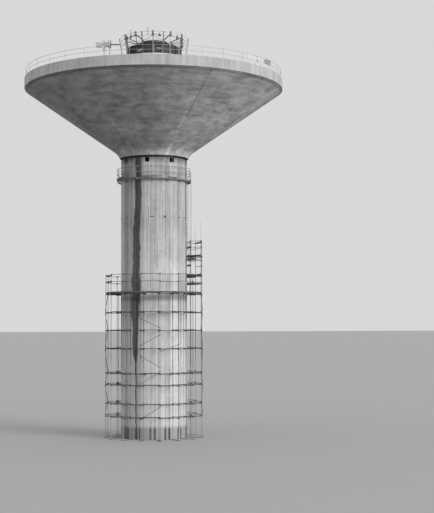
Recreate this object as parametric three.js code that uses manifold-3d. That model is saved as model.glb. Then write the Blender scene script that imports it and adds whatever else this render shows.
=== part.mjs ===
// Conical concrete water tower, seen while it is being finished: a fluted shaft
// with a flared tank on top, tube scaffolding round the foot, an access tower
// and a ladder up to a collar platform, and a jacking crown over the roof.
// Millimetres, +Z up, origin on the shaft's axis at ground level.
// An angle is measured round the axis from the front (-Y) towards the right (+X).
import * as THREE from 'three';
import { mergeVertices } from 'three/addons/utils/BufferGeometryUtils.js';
import Module from 'manifold-3d';

const wasm = await Module();
wasm.setup();

// Gap left between a piece and what it is seated on
const SEAT = 0.3;
// Flats round every turned piece, a whole number for each shaft and tank segment
const ROUND = 56;

// Shaft, with narrow strips between pairs of grooves
const SHAFT_RADIUS = 3250;
const SHAFT_WALL = 320;
const SHAFT_TOP = 26700;
const STRIP_COUNT = 14;
const STRIP_PHASE = -3.2;
const STRIP_HALF_ANGLE = 3.7;
const GROOVE_WIDTH = 95;
const GROOVE_DEPTH = 50;
const FIELD_FLATS = 3;
const STAVE_COUNT = 7;
const FOOT_FLOOR = 300;
const FOOT_SLOT = { width: 200, depth: 90, height: 1100 };

// Head of the shaft: blocks with jack pockets between them, under a set-back bearing neck
const HEAD_WALL = 400;
const HEAD_LEDGE = 27150;
const BEARING_TOP = 27340;
const BEARING_RADIUS = 2960;
const POCKET_COUNT = 8;
const POCKET_PHASE = -12.8;
const POCKET_WIDTH = 520;

// Tank: throat ring, conical shell, rim band and roof round a hollow core
const THROAT_TOP = 28300;
const FLARE_RADIUS = 1600;
const FLARE_FLATS = 5;
const CORE_SEGMENTS = 4;
const CONE_START = { radius: 3950, height: 28060 };
const CONE_SLOPE = THREE.MathUtils.degToRad(34.65);
const SHELL_THICKNESS = 300;
const SHELL_EDGE_RADIUS = 12620;
const TANK_SEGMENTS = 8;
const RIM = { radius: 12750, bottom: 34130, top: 35100, lip: 250, ledge: 34750, width: 450 };
const ROOF_THICKNESS = 200;
const ROOF_SLOPE = 0.1925;
const CORE = { radius: 2750, wall: 300, top: 37420, corbel: 200, corbelHeight: 350 };

// Guard rail round the rim
const RIM_GUARD = { radius: 12620, bays: 36, nodes: 4, rails: [35550, 35975], top: 36000, bar: 50 };

// Collar platform under the tank
const COLLAR = { top: 25140, thickness: 60, inner: 3265, outer: 3700, bracket: 260, bracketWidth: 80 };
const COLLAR_GUARD = { radius: 3640, rails: [25720, 26275], top: 26300, bar: 50 };

// Tube scaffold round the foot of the shaft
const TUBE = 50;
const SCAFFOLD = { bays: 16, phase: 6.6, outer: 4750, inner: 3650, nodes: 4, top: 15850, innerTop: 14250 };
const LIFTS = [2150, 3400, 5200, 6320, 8700, 10450, 12200, 14000];
const TOP_RAILS = [15100, 15800];
const TIED_LIFTS = [6320, 14000];
const TIE_BITE = 60;
const DECK_THICKNESS = 50;
const DECK_CLEARANCE = 36;

// Access tower on the right, and the ladder from it to the collar
const ACCESS = { first: 3, last: 5, landing: 15800, deck: 17700, rails: [18600, 19200], top: 19225 };
const ACCESS_INNER = 3360;
const POLE_TOP = 21000;
const NOTCH = 72;
const LADDER = { x: 3540, y: 1750, width: 320, top: 26200, pitch: 300, bar: 40 };

// Crown over the roof
const CROWN_COUNT = 10;
const CROWN_PHASE = -2.3;
const CROWN_DECK = { outer: 3350, top: 37120, thickness: 70, kerb: 100 };
const SHUTTER = { radius: 2710, thickness: 110, top: 38350 };
const YOKE = { legRadius: 2800, leg: 70 };
const YOKE_RING = { inner: 1300, outer: 1900, top: 38700, thickness: 80 };
const YOKE_ARM = { inner: 1700, innerHeight: 38950, outer: 2930, outerHeight: 39370, bar: 80 };
const JACK_HEAD = { width: 200, bottom: 39150, top: 39620 };
const CROWN_GUARD = { foot: 3040, head: 3450, rails: [39050, 39400], top: 39425, bar: 50 };
const UPSTANDS = [{ angle: -43, top: 39750 }, { angle: -10.6, top: 39800 }, { angle: 51.5, top: 39530 }];
const HOIST = { height: 38870, bar: 90, legs: [4410, 4985], leg: 50 };
const HOIST_BLOCKS = [
  { inner: 4270, outer: 4330, width: 300, bottom: 38480, top: 39270 },
  { inner: 4490, outer: 4550, width: 300, bottom: 38480, top: 39270 },
  { inner: 4900, outer: 5070, width: 400, bottom: 38350, top: 39230 },
  { inner: 5190, outer: 5780, width: 350, bottom: 38600, top: 39060 },
];

const UP = new THREE.Vector3(0, 0, 1);

const concrete = new THREE.MeshStandardMaterial({ color: 0xa3a29e, roughness: 0.9, metalness: 0 });
const soffit = new THREE.MeshStandardMaterial({ color: 0x6f6e6a, roughness: 0.95, metalness: 0 });
const tube = new THREE.MeshStandardMaterial({ color: 0x55544f, roughness: 0.6, metalness: 0.6 });
const paleTube = new THREE.MeshStandardMaterial({ color: 0xb9b8b2, roughness: 0.5, metalness: 0.6 });
const board = new THREE.MeshStandardMaterial({ color: 0x4a453c, roughness: 0.9, metalness: 0 });
const darkSteel = new THREE.MeshStandardMaterial({ color: 0x2f2e2c, roughness: 0.6, metalness: 0.7 });

// Points and directions round the tower's axis

function radians(angle) {
  return THREE.MathUtils.degToRad(angle);
}

function outward(angle) {
  return new THREE.Vector3(Math.sin(radians(angle)), -Math.cos(radians(angle)), 0);
}

function at(radius, angle, height) {
  return outward(angle).multiplyScalar(radius).setZ(height);
}

function flat(radius, angle) {
  const point = at(radius, angle, 0);
  return new THREE.Vector2(point.x, point.y);
}

// Solids

function solidOf(geometry) {
  const bare = geometry.clone();
  bare.deleteAttribute('normal');
  bare.deleteAttribute('uv');
  const merged = mergeVertices(bare);
  return new wasm.Manifold(new wasm.Mesh({
    numProp: 3,
    vertProperties: Float32Array.from(merged.attributes.position.array),
    triVerts: Uint32Array.from(merged.index.array),
  }));
}

function geometryOf(solid) {
  const mesh = solid.getMesh();
  const geometry = new THREE.BufferGeometry();
  geometry.setAttribute('position', new THREE.BufferAttribute(mesh.vertProperties, 3));
  geometry.setIndex(new THREE.BufferAttribute(mesh.triVerts, 1));
  geometry.computeVertexNormals();
  return geometry;
}

function joined(solids) {
  return solids.reduce((whole, solid) => whole.add(solid));
}

// A closed outline of [radius, height] pairs, turned all the way round the axis
function turned(profile) {
  const points = [...profile, profile[0]].map(([radius, height]) => new THREE.Vector2(radius, height));
  return solidOf(new THREE.LatheGeometry(points, ROUND).rotateX(Math.PI / 2));
}

// A flat outline raised from one height to another
function raised(shape, bottom, top) {
  const geometry = new THREE.ExtrudeGeometry(shape, { depth: top - bottom, bevelEnabled: false });
  return solidOf(geometry.translate(0, 0, bottom));
}

// A straight bar of rectangular section, with its depth turned towards side
function bar(start, end, width, depth = width, side = UP) {
  const along = new THREE.Vector3().subVectors(end, start);
  const length = along.length();
  along.normalize();
  const across = new THREE.Vector3().crossVectors(side, along).normalize();
  const normal = new THREE.Vector3().crossVectors(along, across);
  const place = new THREE.Matrix4().makeBasis(along, across, normal);
  place.setPosition(new THREE.Vector3().addVectors(start, end).multiplyScalar(0.5));
  return solidOf(new THREE.BoxGeometry(length, width, depth).applyMatrix4(place));
}

function post(radius, angle, bottom, top, size) {
  return bar(at(radius, angle, bottom), at(radius, angle, top), size, size, outward(angle));
}

// A block that runs along the outward direction from one radius to another
function radialBlock(angle, inner, outer, width, bottom, top) {
  const middle = (bottom + top) / 2;
  return bar(at(inner, angle, middle), at(outer, angle, middle), width, top - bottom);
}

// One slice of a round solid, its sides set back by half the seat gap
function slice(solid, first, sweep, reach) {
  const box = solid.boundingBox();
  const apex = flat(SEAT / 2 / Math.sin(radians(sweep / 2)), first + sweep / 2);
  const side = reach / Math.cos(radians(sweep / 2));
  const shape = new THREE.Shape([
    apex,
    apex.clone().add(flat(side, first)),
    apex.clone().add(flat(side, first + sweep)),
  ]);
  return solid.intersect(raised(shape, box.min[2] - 1, box.max[2] + 1));
}

function slices(solid, count, first, reach) {
  const sweep = 360 / count;
  return Array.from({ length: count }, (_, index) => slice(solid, first + index * sweep, sweep, reach));
}

// A polygon ring with its corners at the given angles, such as a boarded deck
function polygonRing(corners, inner, outer, bottom, top) {
  const shape = new THREE.Shape(corners.map((angle) => flat(outer, angle)));
  shape.holes.push(new THREE.Path(corners.map((angle) => flat(inner, angle))));
  return raised(shape, bottom, top);
}

// Rails from post to post; a rail that ends at another piece's post stops short of it
function railBays(radius, heights, first, pitch, bays, size, open) {
  const half = radians(pitch / 2);
  const stop = (size / 2 * (1 + Math.sin(half)) + SEAT) / Math.cos(half);
  const rails = [];
  for (let bay = 0; bay < bays; bay += 1) {
    const angle = first + bay * pitch;
    for (const height of heights) {
      const start = at(radius, angle, height);
      const end = at(radius, angle + pitch, height);
      if (open && bay === bays - 1) {
        const back = new THREE.Vector3().subVectors(start, end).setLength(stop);
        end.add(back);
      }
      rails.push(bar(start, end, size));
    }
  }
  return rails;
}

// Shaft

function stripCentres() {
  return Array.from({ length: STRIP_COUNT }, (_, index) => STRIP_PHASE + index * 360 / STRIP_COUNT);
}

function grooveOutline(centre, radius) {
  const half = THREE.MathUtils.radToDeg(GROOVE_WIDTH / 2 / SHAFT_RADIUS);
  const bed = radius - GROOVE_DEPTH;
  return [
    flat(radius, centre - half),
    flat(bed, centre - half),
    flat(bed, centre + half),
    flat(radius, centre + half),
  ];
}

// The arc of plain wall from one strip's last groove to the next strip's first
function fieldOutline(centre, radius) {
  const half = THREE.MathUtils.radToDeg(GROOVE_WIDTH / 2 / SHAFT_RADIUS);
  const start = centre + STRIP_HALF_ANGLE + half;
  const end = centre + 360 / STRIP_COUNT - STRIP_HALF_ANGLE - half;
  const points = [];
  for (let step = 1; step < FIELD_FLATS; step += 1) {
    points.push(flat(radius, THREE.MathUtils.lerp(start, end, step / FIELD_FLATS)));
  }
  return points;
}

function shaftSolid(radius = SHAFT_RADIUS) {
  const outline = [];
  const slots = [];
  for (const centre of stripCentres()) {
    for (const groove of [centre - STRIP_HALF_ANGLE, centre + STRIP_HALF_ANGLE]) {
      outline.push(...grooveOutline(groove, radius));
      const bed = SHAFT_RADIUS - FOOT_SLOT.depth;
      slots.push(radialBlock(groove, bed, SHAFT_RADIUS + 50, FOOT_SLOT.width, -10, FOOT_SLOT.height));
    }
    outline.push(...fieldOutline(centre, radius));
  }
  const shape = new THREE.Shape(outline);
  const bore = Array.from({ length: ROUND }, (_, index) => {
    return flat(SHAFT_RADIUS - SHAFT_WALL, index * 360 / ROUND);
  });
  shape.holes.push(new THREE.Path(bore));
  return raised(shape, 0, SHAFT_TOP).subtract(joined(slots));
}

function shaftStaves() {
  const first = STRIP_PHASE + 180 / STRIP_COUNT;
  return slices(shaftSolid(), STAVE_COUNT, first, 2 * SHAFT_RADIUS);
}

function footFloor() {
  const edge = SHAFT_RADIUS - SHAFT_WALL - 2 * SEAT;
  return turned([
    [0, 0],
    [edge, 0],
    [edge, FOOT_FLOOR],
    [0, FOOT_FLOOR],
  ]);
}

// The blocks of the head stand on the shaft, with an open pocket between each two
function headBlocks() {
  const inner = SHAFT_RADIUS - HEAD_WALL;
  const ring = turned([
    [inner, SHAFT_TOP + SEAT],
    [SHAFT_RADIUS, SHAFT_TOP + SEAT],
    [SHAFT_RADIUS, HEAD_LEDGE],
    [inner, HEAD_LEDGE],
  ]);
  const pockets = [];
  for (let index = 0; index < POCKET_COUNT; index += 1) {
    const angle = POCKET_PHASE + index * 360 / POCKET_COUNT;
    const [from, to] = [inner - 200, SHAFT_RADIUS + 200];
    pockets.push(radialBlock(angle, from, to, POCKET_WIDTH, SHAFT_TOP, HEAD_LEDGE + 1));
  }
  return slices(ring.subtract(joined(pockets)), POCKET_COUNT, POCKET_PHASE, 2 * SHAFT_RADIUS);
}

// Tank

function coneHeight(radius) {
  return CONE_START.height + (radius - CONE_START.radius) * Math.tan(CONE_SLOPE);
}

function coneRadius(height) {
  return CONE_START.radius + (height - CONE_START.height) / Math.tan(CONE_SLOPE);
}

function innerConeRadius(height) {
  return coneRadius(height - SHELL_THICKNESS / Math.cos(CONE_SLOPE));
}

// The flare is an arc that leaves the throat nearly upright and meets the cone's slope
function flareOutline(bottom) {
  const centre = {
    radius: CONE_START.radius + FLARE_RADIUS * Math.sin(CONE_SLOPE),
    height: CONE_START.height - FLARE_RADIUS * Math.cos(CONE_SLOPE),
  };
  const low = Math.asin((bottom - centre.height) / FLARE_RADIUS);
  const high = Math.PI / 2 - CONE_SLOPE;
  const points = [];
  for (let step = 0; step <= FLARE_FLATS; step += 1) {
    const turn = THREE.MathUtils.lerp(low, high, step / FLARE_FLATS);
    const radius = centre.radius - FLARE_RADIUS * Math.cos(turn);
    points.push([radius, centre.height + FLARE_RADIUS * Math.sin(turn)]);
  }
  return points;
}

function throatSegments() {
  const bore = CORE.radius - CORE.wall;
  const bottom = HEAD_LEDGE + SEAT;
  const ring = turned([
    [bore, bottom],
    [BEARING_RADIUS, bottom],
    [BEARING_RADIUS, BEARING_TOP],
    ...flareOutline(BEARING_TOP),
    [coneRadius(THROAT_TOP), THROAT_TOP],
    [bore, THROAT_TOP],
  ]);
  return slices(ring, CORE_SEGMENTS, 45, 2 * CONE_START.radius);
}

function tankShell() {
  const bottom = THROAT_TOP + SEAT;
  const top = RIM.bottom - SEAT;
  const shell = turned([
    [innerConeRadius(bottom), bottom],
    [coneRadius(bottom), bottom],
    [SHELL_EDGE_RADIUS, coneHeight(SHELL_EDGE_RADIUS)],
    [SHELL_EDGE_RADIUS, top],
    [innerConeRadius(top), top],
  ]);
  return slices(shell, TANK_SEGMENTS, 0, 2 * RIM.radius);
}

function rimBand() {
  const lip = RIM.radius - RIM.lip;
  return turned([
    [RIM.radius - RIM.width, RIM.bottom],
    [RIM.radius, RIM.bottom],
    [RIM.radius, RIM.top],
    [lip, RIM.top],
    [lip, RIM.ledge],
    [RIM.radius - RIM.width, RIM.ledge],
  ]);
}

const ROOF_EDGE = RIM.radius - RIM.lip - SEAT;

function roofUnderside(radius) {
  return RIM.ledge + SEAT + (ROOF_EDGE - radius) * ROOF_SLOPE;
}

function roofTop(radius) {
  return roofUnderside(radius) + ROOF_THICKNESS;
}

function roofSlab(lift = 0) {
  const eye = CORE.radius + SEAT;
  return turned([
    [eye, roofUnderside(eye) + lift],
    [ROOF_EDGE, roofUnderside(ROOF_EDGE) + lift],
    [ROOF_EDGE, roofTop(ROOF_EDGE) + lift],
    [eye, roofTop(eye) + lift],
  ]);
}

function coreSegments() {
  const bore = CORE.radius - CORE.wall;
  const corbelEdge = CORE.radius + CORE.corbel;
  const corbelTop = roofUnderside(corbelEdge) - SEAT;
  const wall = turned([
    [bore, THROAT_TOP + SEAT],
    [CORE.radius, THROAT_TOP + SEAT],
    [CORE.radius, corbelTop - CORE.corbelHeight],
    [corbelEdge, corbelTop - CORE.corbelHeight / 2],
    [corbelEdge, corbelTop],
    [CORE.radius, roofUnderside(CORE.radius) - SEAT],
    [CORE.radius, CORE.top],
    [bore, CORE.top],
  ]);
  return slices(wall, CORE_SEGMENTS, 45, 2 * CORE.radius);
}

function rimGuard(index) {
  const bays = RIM_GUARD.bays / RIM_GUARD.nodes;
  const pitch = 360 / RIM_GUARD.bays;
  const first = index * bays * pitch;
  const pieces = railBays(RIM_GUARD.radius, RIM_GUARD.rails, first, pitch, bays, RIM_GUARD.bar, true);
  for (let bay = 0; bay < bays; bay += 1) {
    pieces.push(post(RIM_GUARD.radius, first + bay * pitch, RIM.top + SEAT, RIM_GUARD.top, RIM_GUARD.bar));
  }
  return joined(pieces);
}

// Collar platform

function collarDeck() {
  const bottom = COLLAR.top - COLLAR.thickness;
  const corners = Array.from({ length: ROUND }, (_, index) => index * 360 / ROUND);
  const deck = polygonRing(corners, COLLAR.inner, COLLAR.outer, bottom, COLLAR.top);
  const half = radians(STRIP_HALF_ANGLE) - GROOVE_WIDTH / 2 / SHAFT_RADIUS;
  const wall = SHAFT_RADIUS * Math.cos(half) + SEAT;
  const knee = new THREE.Shape([
    new THREE.Vector2(wall, -COLLAR.bracket),
    new THREE.Vector2(COLLAR.outer - 60, 0),
    new THREE.Vector2(COLLAR.outer - 60, 10),
    new THREE.Vector2(wall, 10),
  ]);
  const brackets = stripCentres().map((angle) => {
    const bracket = new THREE.ExtrudeGeometry(knee, { depth: COLLAR.bracketWidth, bevelEnabled: false });
    bracket.translate(0, 0, -COLLAR.bracketWidth / 2).rotateX(Math.PI / 2);
    bracket.rotateZ(radians(angle - 90)).translate(0, 0, bottom);
    return solidOf(bracket);
  });
  return joined([deck, ...brackets]);
}

function collarGuard() {
  const pitch = 360 / STRIP_COUNT;
  const { radius, rails, top, bar: size } = COLLAR_GUARD;
  const posts = stripCentres().map((angle) => post(radius, angle, COLLAR.top + SEAT, top, size));
  return joined([...posts, ...railBays(radius, rails, STRIP_PHASE, pitch, STRIP_COUNT, size, false)]);
}

// Scaffold

const clearedShaft = shaftSolid(SHAFT_RADIUS + SEAT);

function standardAngle(index) {
  return SCAFFOLD.phase + index * 360 / SCAFFOLD.bays;
}

// A quarter of the outer frame
function outerFrame(node) {
  const bays = SCAFFOLD.bays / SCAFFOLD.nodes;
  const pitch = 360 / SCAFFOLD.bays;
  const first = standardAngle(node * bays);
  const pieces = railBays(SCAFFOLD.outer, [...LIFTS, ...TOP_RAILS], first, pitch, bays, TUBE, true);
  for (let bay = 0; bay < bays; bay += 1) {
    pieces.push(post(SCAFFOLD.outer, first + bay * pitch, 0, SCAFFOLD.top, TUBE));
  }
  return joined(pieces);
}

// The radius at which a cross tube stops short of an outer standard that is another piece's
function crossTubeEnd() {
  const half = Math.PI / SCAFFOLD.bays;
  return SCAFFOLD.outer - (TUBE / 2 * (1 + Math.sin(half)) + SEAT) / Math.cos(half);
}

// A quarter of the inner frame: its cross tubes reach the outer frame, and every second one ties
// the scaffold to the shaft
function innerFrame(node) {
  const bays = SCAFFOLD.bays / SCAFFOLD.nodes;
  const pitch = 360 / SCAFFOLD.bays;
  const first = standardAngle(node * bays);
  const pieces = railBays(SCAFFOLD.inner, TIED_LIFTS, first, pitch, bays, TUBE, true);
  for (let bay = 0; bay < bays; bay += 1) {
    const angle = first + bay * pitch;
    pieces.push(post(SCAFFOLD.inner, angle, 0, SCAFFOLD.innerTop, TUBE));
    const start = bay % 2 === 1 ? SHAFT_RADIUS - TIE_BITE : SCAFFOLD.inner;
    for (const lift of TIED_LIFTS) {
      pieces.push(bar(at(start, angle, lift), at(crossTubeEnd(), angle, lift), TUBE));
    }
  }
  return joined(pieces).subtract(clearedShaft);
}

function scaffoldDeck() {
  const corners = Array.from({ length: SCAFFOLD.bays }, (_, index) => standardAngle(index));
  const bottom = LIFTS[LIFTS.length - 1] + TUBE / 2 + SEAT;
  const inner = SCAFFOLD.inner + DECK_CLEARANCE;
  return polygonRing(corners, inner, SCAFFOLD.outer - DECK_CLEARANCE, bottom, bottom + DECK_THICKNESS);
}

// Access tower

function accessAngles() {
  const count = ACCESS.last - ACCESS.first + 1;
  return Array.from({ length: count }, (_, index) => standardAngle(ACCESS.first + index));
}

// Standards, ledgers and guard rails round a landing and a deck, with a tall pole at each end
function accessTower() {
  const angles = accessAngles();
  const pitch = 360 / SCAFFOLD.bays;
  const bays = angles.length - 1;
  const { landing, deck, rails, top } = ACCESS;
  const pieces = [
    ...railBays(SCAFFOLD.outer, [deck, ...rails], angles[0], pitch, bays, TUBE, false),
    ...railBays(SCAFFOLD.inner, [landing, deck, ...rails], angles[0], pitch, bays, TUBE, false),
  ];
  angles.forEach((angle, index) => {
    const corner = index === 0 || index === bays;
    pieces.push(post(SCAFFOLD.outer, angle, SCAFFOLD.top + SEAT, corner ? POLE_TOP : top, TUBE));
    pieces.push(post(SCAFFOLD.inner, angle, SCAFFOLD.innerTop + SEAT, top, TUBE));
    pieces.push(bar(at(ACCESS_INNER, angle, landing), at(crossTubeEnd(), angle, landing), TUBE));
    pieces.push(bar(at(ACCESS_INNER, angle, deck), at(SCAFFOLD.outer, angle, deck), TUBE));
    for (const height of corner ? rails : []) {
      pieces.push(bar(at(SCAFFOLD.inner, angle, height), at(SCAFFOLD.outer, angle, height), TUBE));
    }
  });
  return joined(pieces);
}

// Boards from the shaft out to the outer standards, notched round the inner ones
function accessBoards(level) {
  const angles = accessAngles();
  const bottom = level + TUBE / 2 + SEAT;
  const top = bottom + DECK_THICKNESS;
  const shape = new THREE.Shape([
    ...angles.map((angle) => flat(SCAFFOLD.outer - DECK_CLEARANCE, angle)),
    ...[...angles].reverse().map((angle) => flat(ACCESS_INNER, angle)),
  ]);
  const notches = angles.map((angle) => post(SCAFFOLD.inner, angle, bottom - 10, top + 10, NOTCH));
  return raised(shape, bottom, top).subtract(joined(notches));
}

function shaftLadder() {
  const foot = ACCESS.deck + TUBE / 2 + SEAT + DECK_THICKNESS + SEAT;
  const { x, y, width, top, pitch, bar: size } = LADDER;
  const pieces = [-width / 2, width / 2].map((offset) => {
    const low = new THREE.Vector3(x + offset, y, foot);
    return bar(low, low.clone().setZ(top), size, size, new THREE.Vector3(1, 0, 0));
  });
  for (let height = foot + pitch; height < top; height += pitch) {
    const left = new THREE.Vector3(x - width / 2, y, height);
    pieces.push(bar(left, left.clone().setX(x + width / 2), size / 2));
  }
  return joined(pieces);
}

// Crown

function crownDeck() {
  const eye = CORE.radius + SEAT;
  const kerb = eye + CROWN_DECK.kerb;
  const underside = CROWN_DECK.top - CROWN_DECK.thickness;
  return turned([
    [eye, roofTop(eye) + SEAT],
    [kerb, roofTop(kerb) + SEAT],
    [kerb, underside],
    [CROWN_DECK.outer, underside],
    [CROWN_DECK.outer, CROWN_DECK.top],
    [eye, CROWN_DECK.top],
  ]);
}

function shutterRing() {
  const inner = SHUTTER.radius - SHUTTER.thickness;
  const bottom = CORE.top + SEAT;
  return turned([
    [inner, bottom],
    [SHUTTER.radius, bottom],
    [SHUTTER.radius, SHUTTER.top],
    [inner, SHUTTER.top],
  ]);
}

function crownAngles(phase) {
  return Array.from({ length: CROWN_COUNT }, (_, index) => phase + index * 360 / CROWN_COUNT);
}

function armHeight(radius) {
  const share = (radius - YOKE_ARM.inner) / (YOKE_ARM.outer - YOKE_ARM.inner);
  return THREE.MathUtils.lerp(YOKE_ARM.innerHeight, YOKE_ARM.outerHeight, share);
}

function yoke(angle) {
  const armStart = at(YOKE_ARM.inner, angle, YOKE_ARM.innerHeight);
  const armEnd = at(YOKE_ARM.outer, angle, YOKE_ARM.outerHeight);
  return joined([
    post(YOKE_ARM.inner, angle, YOKE_RING.top - YOKE_RING.thickness / 2, YOKE_ARM.innerHeight, YOKE_ARM.bar),
    bar(armStart, armEnd, YOKE_ARM.bar),
    post(YOKE.legRadius, angle, CROWN_DECK.top + SEAT, armHeight(YOKE.legRadius), YOKE.leg),
    post(YOKE_ARM.outer, angle, JACK_HEAD.bottom, JACK_HEAD.top, JACK_HEAD.width),
  ]);
}

function crownFrame() {
  const angles = crownAngles(CROWN_PHASE);
  const { inner, outer, top, thickness } = YOKE_RING;
  const ring = polygonRing(angles, inner, outer, top - thickness, top);
  return joined([ring, ...angles.map(yoke)]);
}

function crownGuardRadius(height) {
  const share = (height - CROWN_DECK.top) / (CROWN_GUARD.top - CROWN_DECK.top);
  return THREE.MathUtils.lerp(CROWN_GUARD.foot, CROWN_GUARD.head, share);
}

function crownRake() {
  return Math.atan2(CROWN_GUARD.head - CROWN_GUARD.foot, CROWN_GUARD.top - CROWN_DECK.top);
}

// The point of a guard hoop at an angle, on its straight run from post to post
function hoopPoint(angle, height) {
  const half = 180 / CROWN_COUNT;
  const turn = THREE.MathUtils.euclideanModulo(angle - CROWN_PHASE + half, 2 * half) - half;
  return at(crownGuardRadius(height) * Math.cos(radians(half)) / Math.cos(radians(turn)), angle, height);
}

// A tube clipped to both hoops that stands up past the guard
function upstand({ angle, top }) {
  const [low, high] = CROWN_GUARD.rails;
  const start = hoopPoint(angle, low);
  const end = start.clone().lerp(hoopPoint(angle, high), (top - low) / (high - low));
  return bar(start, end, CROWN_GUARD.bar, CROWN_GUARD.bar, outward(angle));
}

function crownGuard() {
  const pitch = 360 / CROWN_COUNT;
  const first = CROWN_PHASE + pitch / 2;
  const { foot, head, rails, top, bar: size } = CROWN_GUARD;
  const rakes = crownAngles(first).map((angle) => {
    return bar(at(foot, angle, CROWN_DECK.top), at(head, angle, top), size, size, outward(angle));
  });
  const hoops = rails.flatMap((height) => {
    return railBays(crownGuardRadius(height), [height], first, pitch, CROWN_COUNT, size, false);
  });
  const floor = turned([
    [0, CROWN_DECK.top - 200],
    [SHAFT_RADIUS * 2, CROWN_DECK.top - 200],
    [SHAFT_RADIUS * 2, CROWN_DECK.top + SEAT],
    [0, CROWN_DECK.top + SEAT],
  ]);
  return joined([...rakes, ...hoops, ...UPSTANDS.map(upstand)]).subtract(floor);
}

// The hoist butts against a crown guard post on the left and stands on the roof
function hoistBeam() {
  const angle = CROWN_PHASE - 90;
  const beamTop = HOIST.height + HOIST.bar / 2;
  const start = crownGuardRadius(beamTop) + CROWN_GUARD.bar / 2 / Math.cos(crownRake()) + SEAT;
  const reach = HOIST_BLOCKS[HOIST_BLOCKS.length - 1].inner + 100;
  const beam = radialBlock(angle, start, reach, HOIST.bar, HOIST.height - HOIST.bar / 2, beamTop);
  const blocks = HOIST_BLOCKS.map(({ inner, outer, width, bottom, top }) => {
    return radialBlock(angle, inner, outer, width, bottom, top);
  });
  const legs = HOIST.legs.map((radius) => {
    return post(radius, angle, roofTop(radius) - ROOF_THICKNESS / 2, HOIST.height, HOIST.leg);
  });
  return joined([beam, ...blocks, ...legs]).subtract(roofSlab(SEAT));
}

// The whole tower

const tower = new THREE.Group();

function addPiece(name, solid, material) {
  const mesh = new THREE.Mesh(geometryOf(solid), material);
  mesh.name = name;
  tower.add(mesh);
}

function addPieces(name, solids, material) {
  solids.forEach((solid, index) => addPiece(`${name}_${index + 1}`, solid, material));
}

function numbered(count, make) {
  return Array.from({ length: count }, (_, index) => make(index));
}

addPieces('shaft_wall', shaftStaves(), concrete);
addPiece('foot_floor', footFloor(), concrete);
addPieces('head_block', headBlocks(), concrete);
addPieces('throat_ring', throatSegments(), concrete);
addPieces('tank_shell', tankShell(), soffit);
addPiece('rim_band', rimBand(), concrete);
addPiece('roof_slab', roofSlab(), concrete);
addPieces('core_wall', coreSegments(), concrete);
addPieces('rim_guard', numbered(RIM_GUARD.nodes, rimGuard), paleTube);
addPiece('collar_deck', collarDeck(), board);
addPiece('collar_guard', collarGuard(), tube);
addPieces('outer_frame', numbered(SCAFFOLD.nodes, outerFrame), tube);
addPieces('inner_frame', numbered(SCAFFOLD.nodes, innerFrame), tube);
addPiece('scaffold_deck', scaffoldDeck(), board);
addPiece('access_tower', accessTower(), tube);
addPiece('access_landing', accessBoards(ACCESS.landing), board);
addPiece('access_deck', accessBoards(ACCESS.deck), board);
addPiece('shaft_ladder', shaftLadder(), paleTube);
addPiece('crown_deck', crownDeck(), board);
addPiece('shutter_ring', shutterRing(), darkSteel);
addPiece('crown_frame', crownFrame(), darkSteel);
addPiece('crown_guard', crownGuard(), tube);
addPiece('hoist_beam', hoistBeam(), darkSteel);

export default tower;
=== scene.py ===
"""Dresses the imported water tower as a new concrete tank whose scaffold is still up.

Everything is in metres with the tower's axis at the origin. An angle is measured in degrees round
that axis from the front (-Y) towards the right (+X), as it is in the CAD.
"""

import logging
import math
import random
from collections.abc import Callable, Sequence
from dataclasses import dataclass, field
from enum import Enum
from functools import cache

import bmesh
import bpy
from mathutils import Matrix, Vector


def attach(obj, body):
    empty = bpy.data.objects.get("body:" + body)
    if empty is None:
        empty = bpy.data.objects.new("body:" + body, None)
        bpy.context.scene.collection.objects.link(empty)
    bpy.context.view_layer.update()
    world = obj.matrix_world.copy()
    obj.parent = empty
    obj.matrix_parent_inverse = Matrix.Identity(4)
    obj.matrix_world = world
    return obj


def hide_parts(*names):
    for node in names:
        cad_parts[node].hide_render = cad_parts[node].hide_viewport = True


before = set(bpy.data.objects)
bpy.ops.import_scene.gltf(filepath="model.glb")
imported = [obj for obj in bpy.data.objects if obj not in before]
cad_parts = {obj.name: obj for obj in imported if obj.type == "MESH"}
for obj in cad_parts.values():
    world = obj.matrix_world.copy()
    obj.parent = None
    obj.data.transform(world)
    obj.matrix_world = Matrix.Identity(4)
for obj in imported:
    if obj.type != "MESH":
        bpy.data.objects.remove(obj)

log = logging.getLogger("tower")

PHOTO_HEIGHT = 513
FOCAL_PIXELS = 1235.7

UP = Vector((0.0, 0.0, 1.0))
ROUND_STEPS = 224
SHARP_ANGLE = math.radians(35)

# The clearance between two pieces of the CAD
GAP = 0.0003

# The shaft, with its narrow strips between pairs of grooves
SHAFT_RADIUS = 3.25
SHAFT_BORE = 2.93
HEAD_BORE = 2.85
SHAFT_TOP = 26.7
HEAD_TOP = 27.15
STRIP_COUNT = 14
STRIP_PHASE = -3.2
STRIP_HALF_ANGLE = 3.7
STRIP_PITCH = 360 / STRIP_COUNT

# The scaffold, with the heights of its ledgers
SCAFFOLD_BAYS = 16
SCAFFOLD_PHASE = 6.6
OUTER_RADIUS = 4.75
INNER_RADIUS = 3.65
OUTER_TOP = 15.85
INNER_TOP = 14.25
LIFTS = (2.15, 3.4, 5.2, 6.32, 8.7, 10.45, 12.2, 14.0)
TOP_RAILS = (15.1, 15.8)
BOARD_WIDTH = 0.222

# The rim, the roof, the core and the crown over it
RIM_RADIUS = 12.75
RIM_TOP = 35.1
RIM_LIP = 0.25
RIM_LEDGE = 34.75
ROOF_EDGE = RIM_RADIUS - RIM_LIP - GAP
ROOF_SLOPE = 0.1925
ROOF_THICKNESS = 0.2
CORE_RADIUS = 2.75
CORE_TOP = 37.42
CROWN_DECK_TOP = 37.12
CROWN_COUNT = 10
CROWN_PHASE = -2.3
CROWN_PITCH = 360 / CROWN_COUNT

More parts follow.
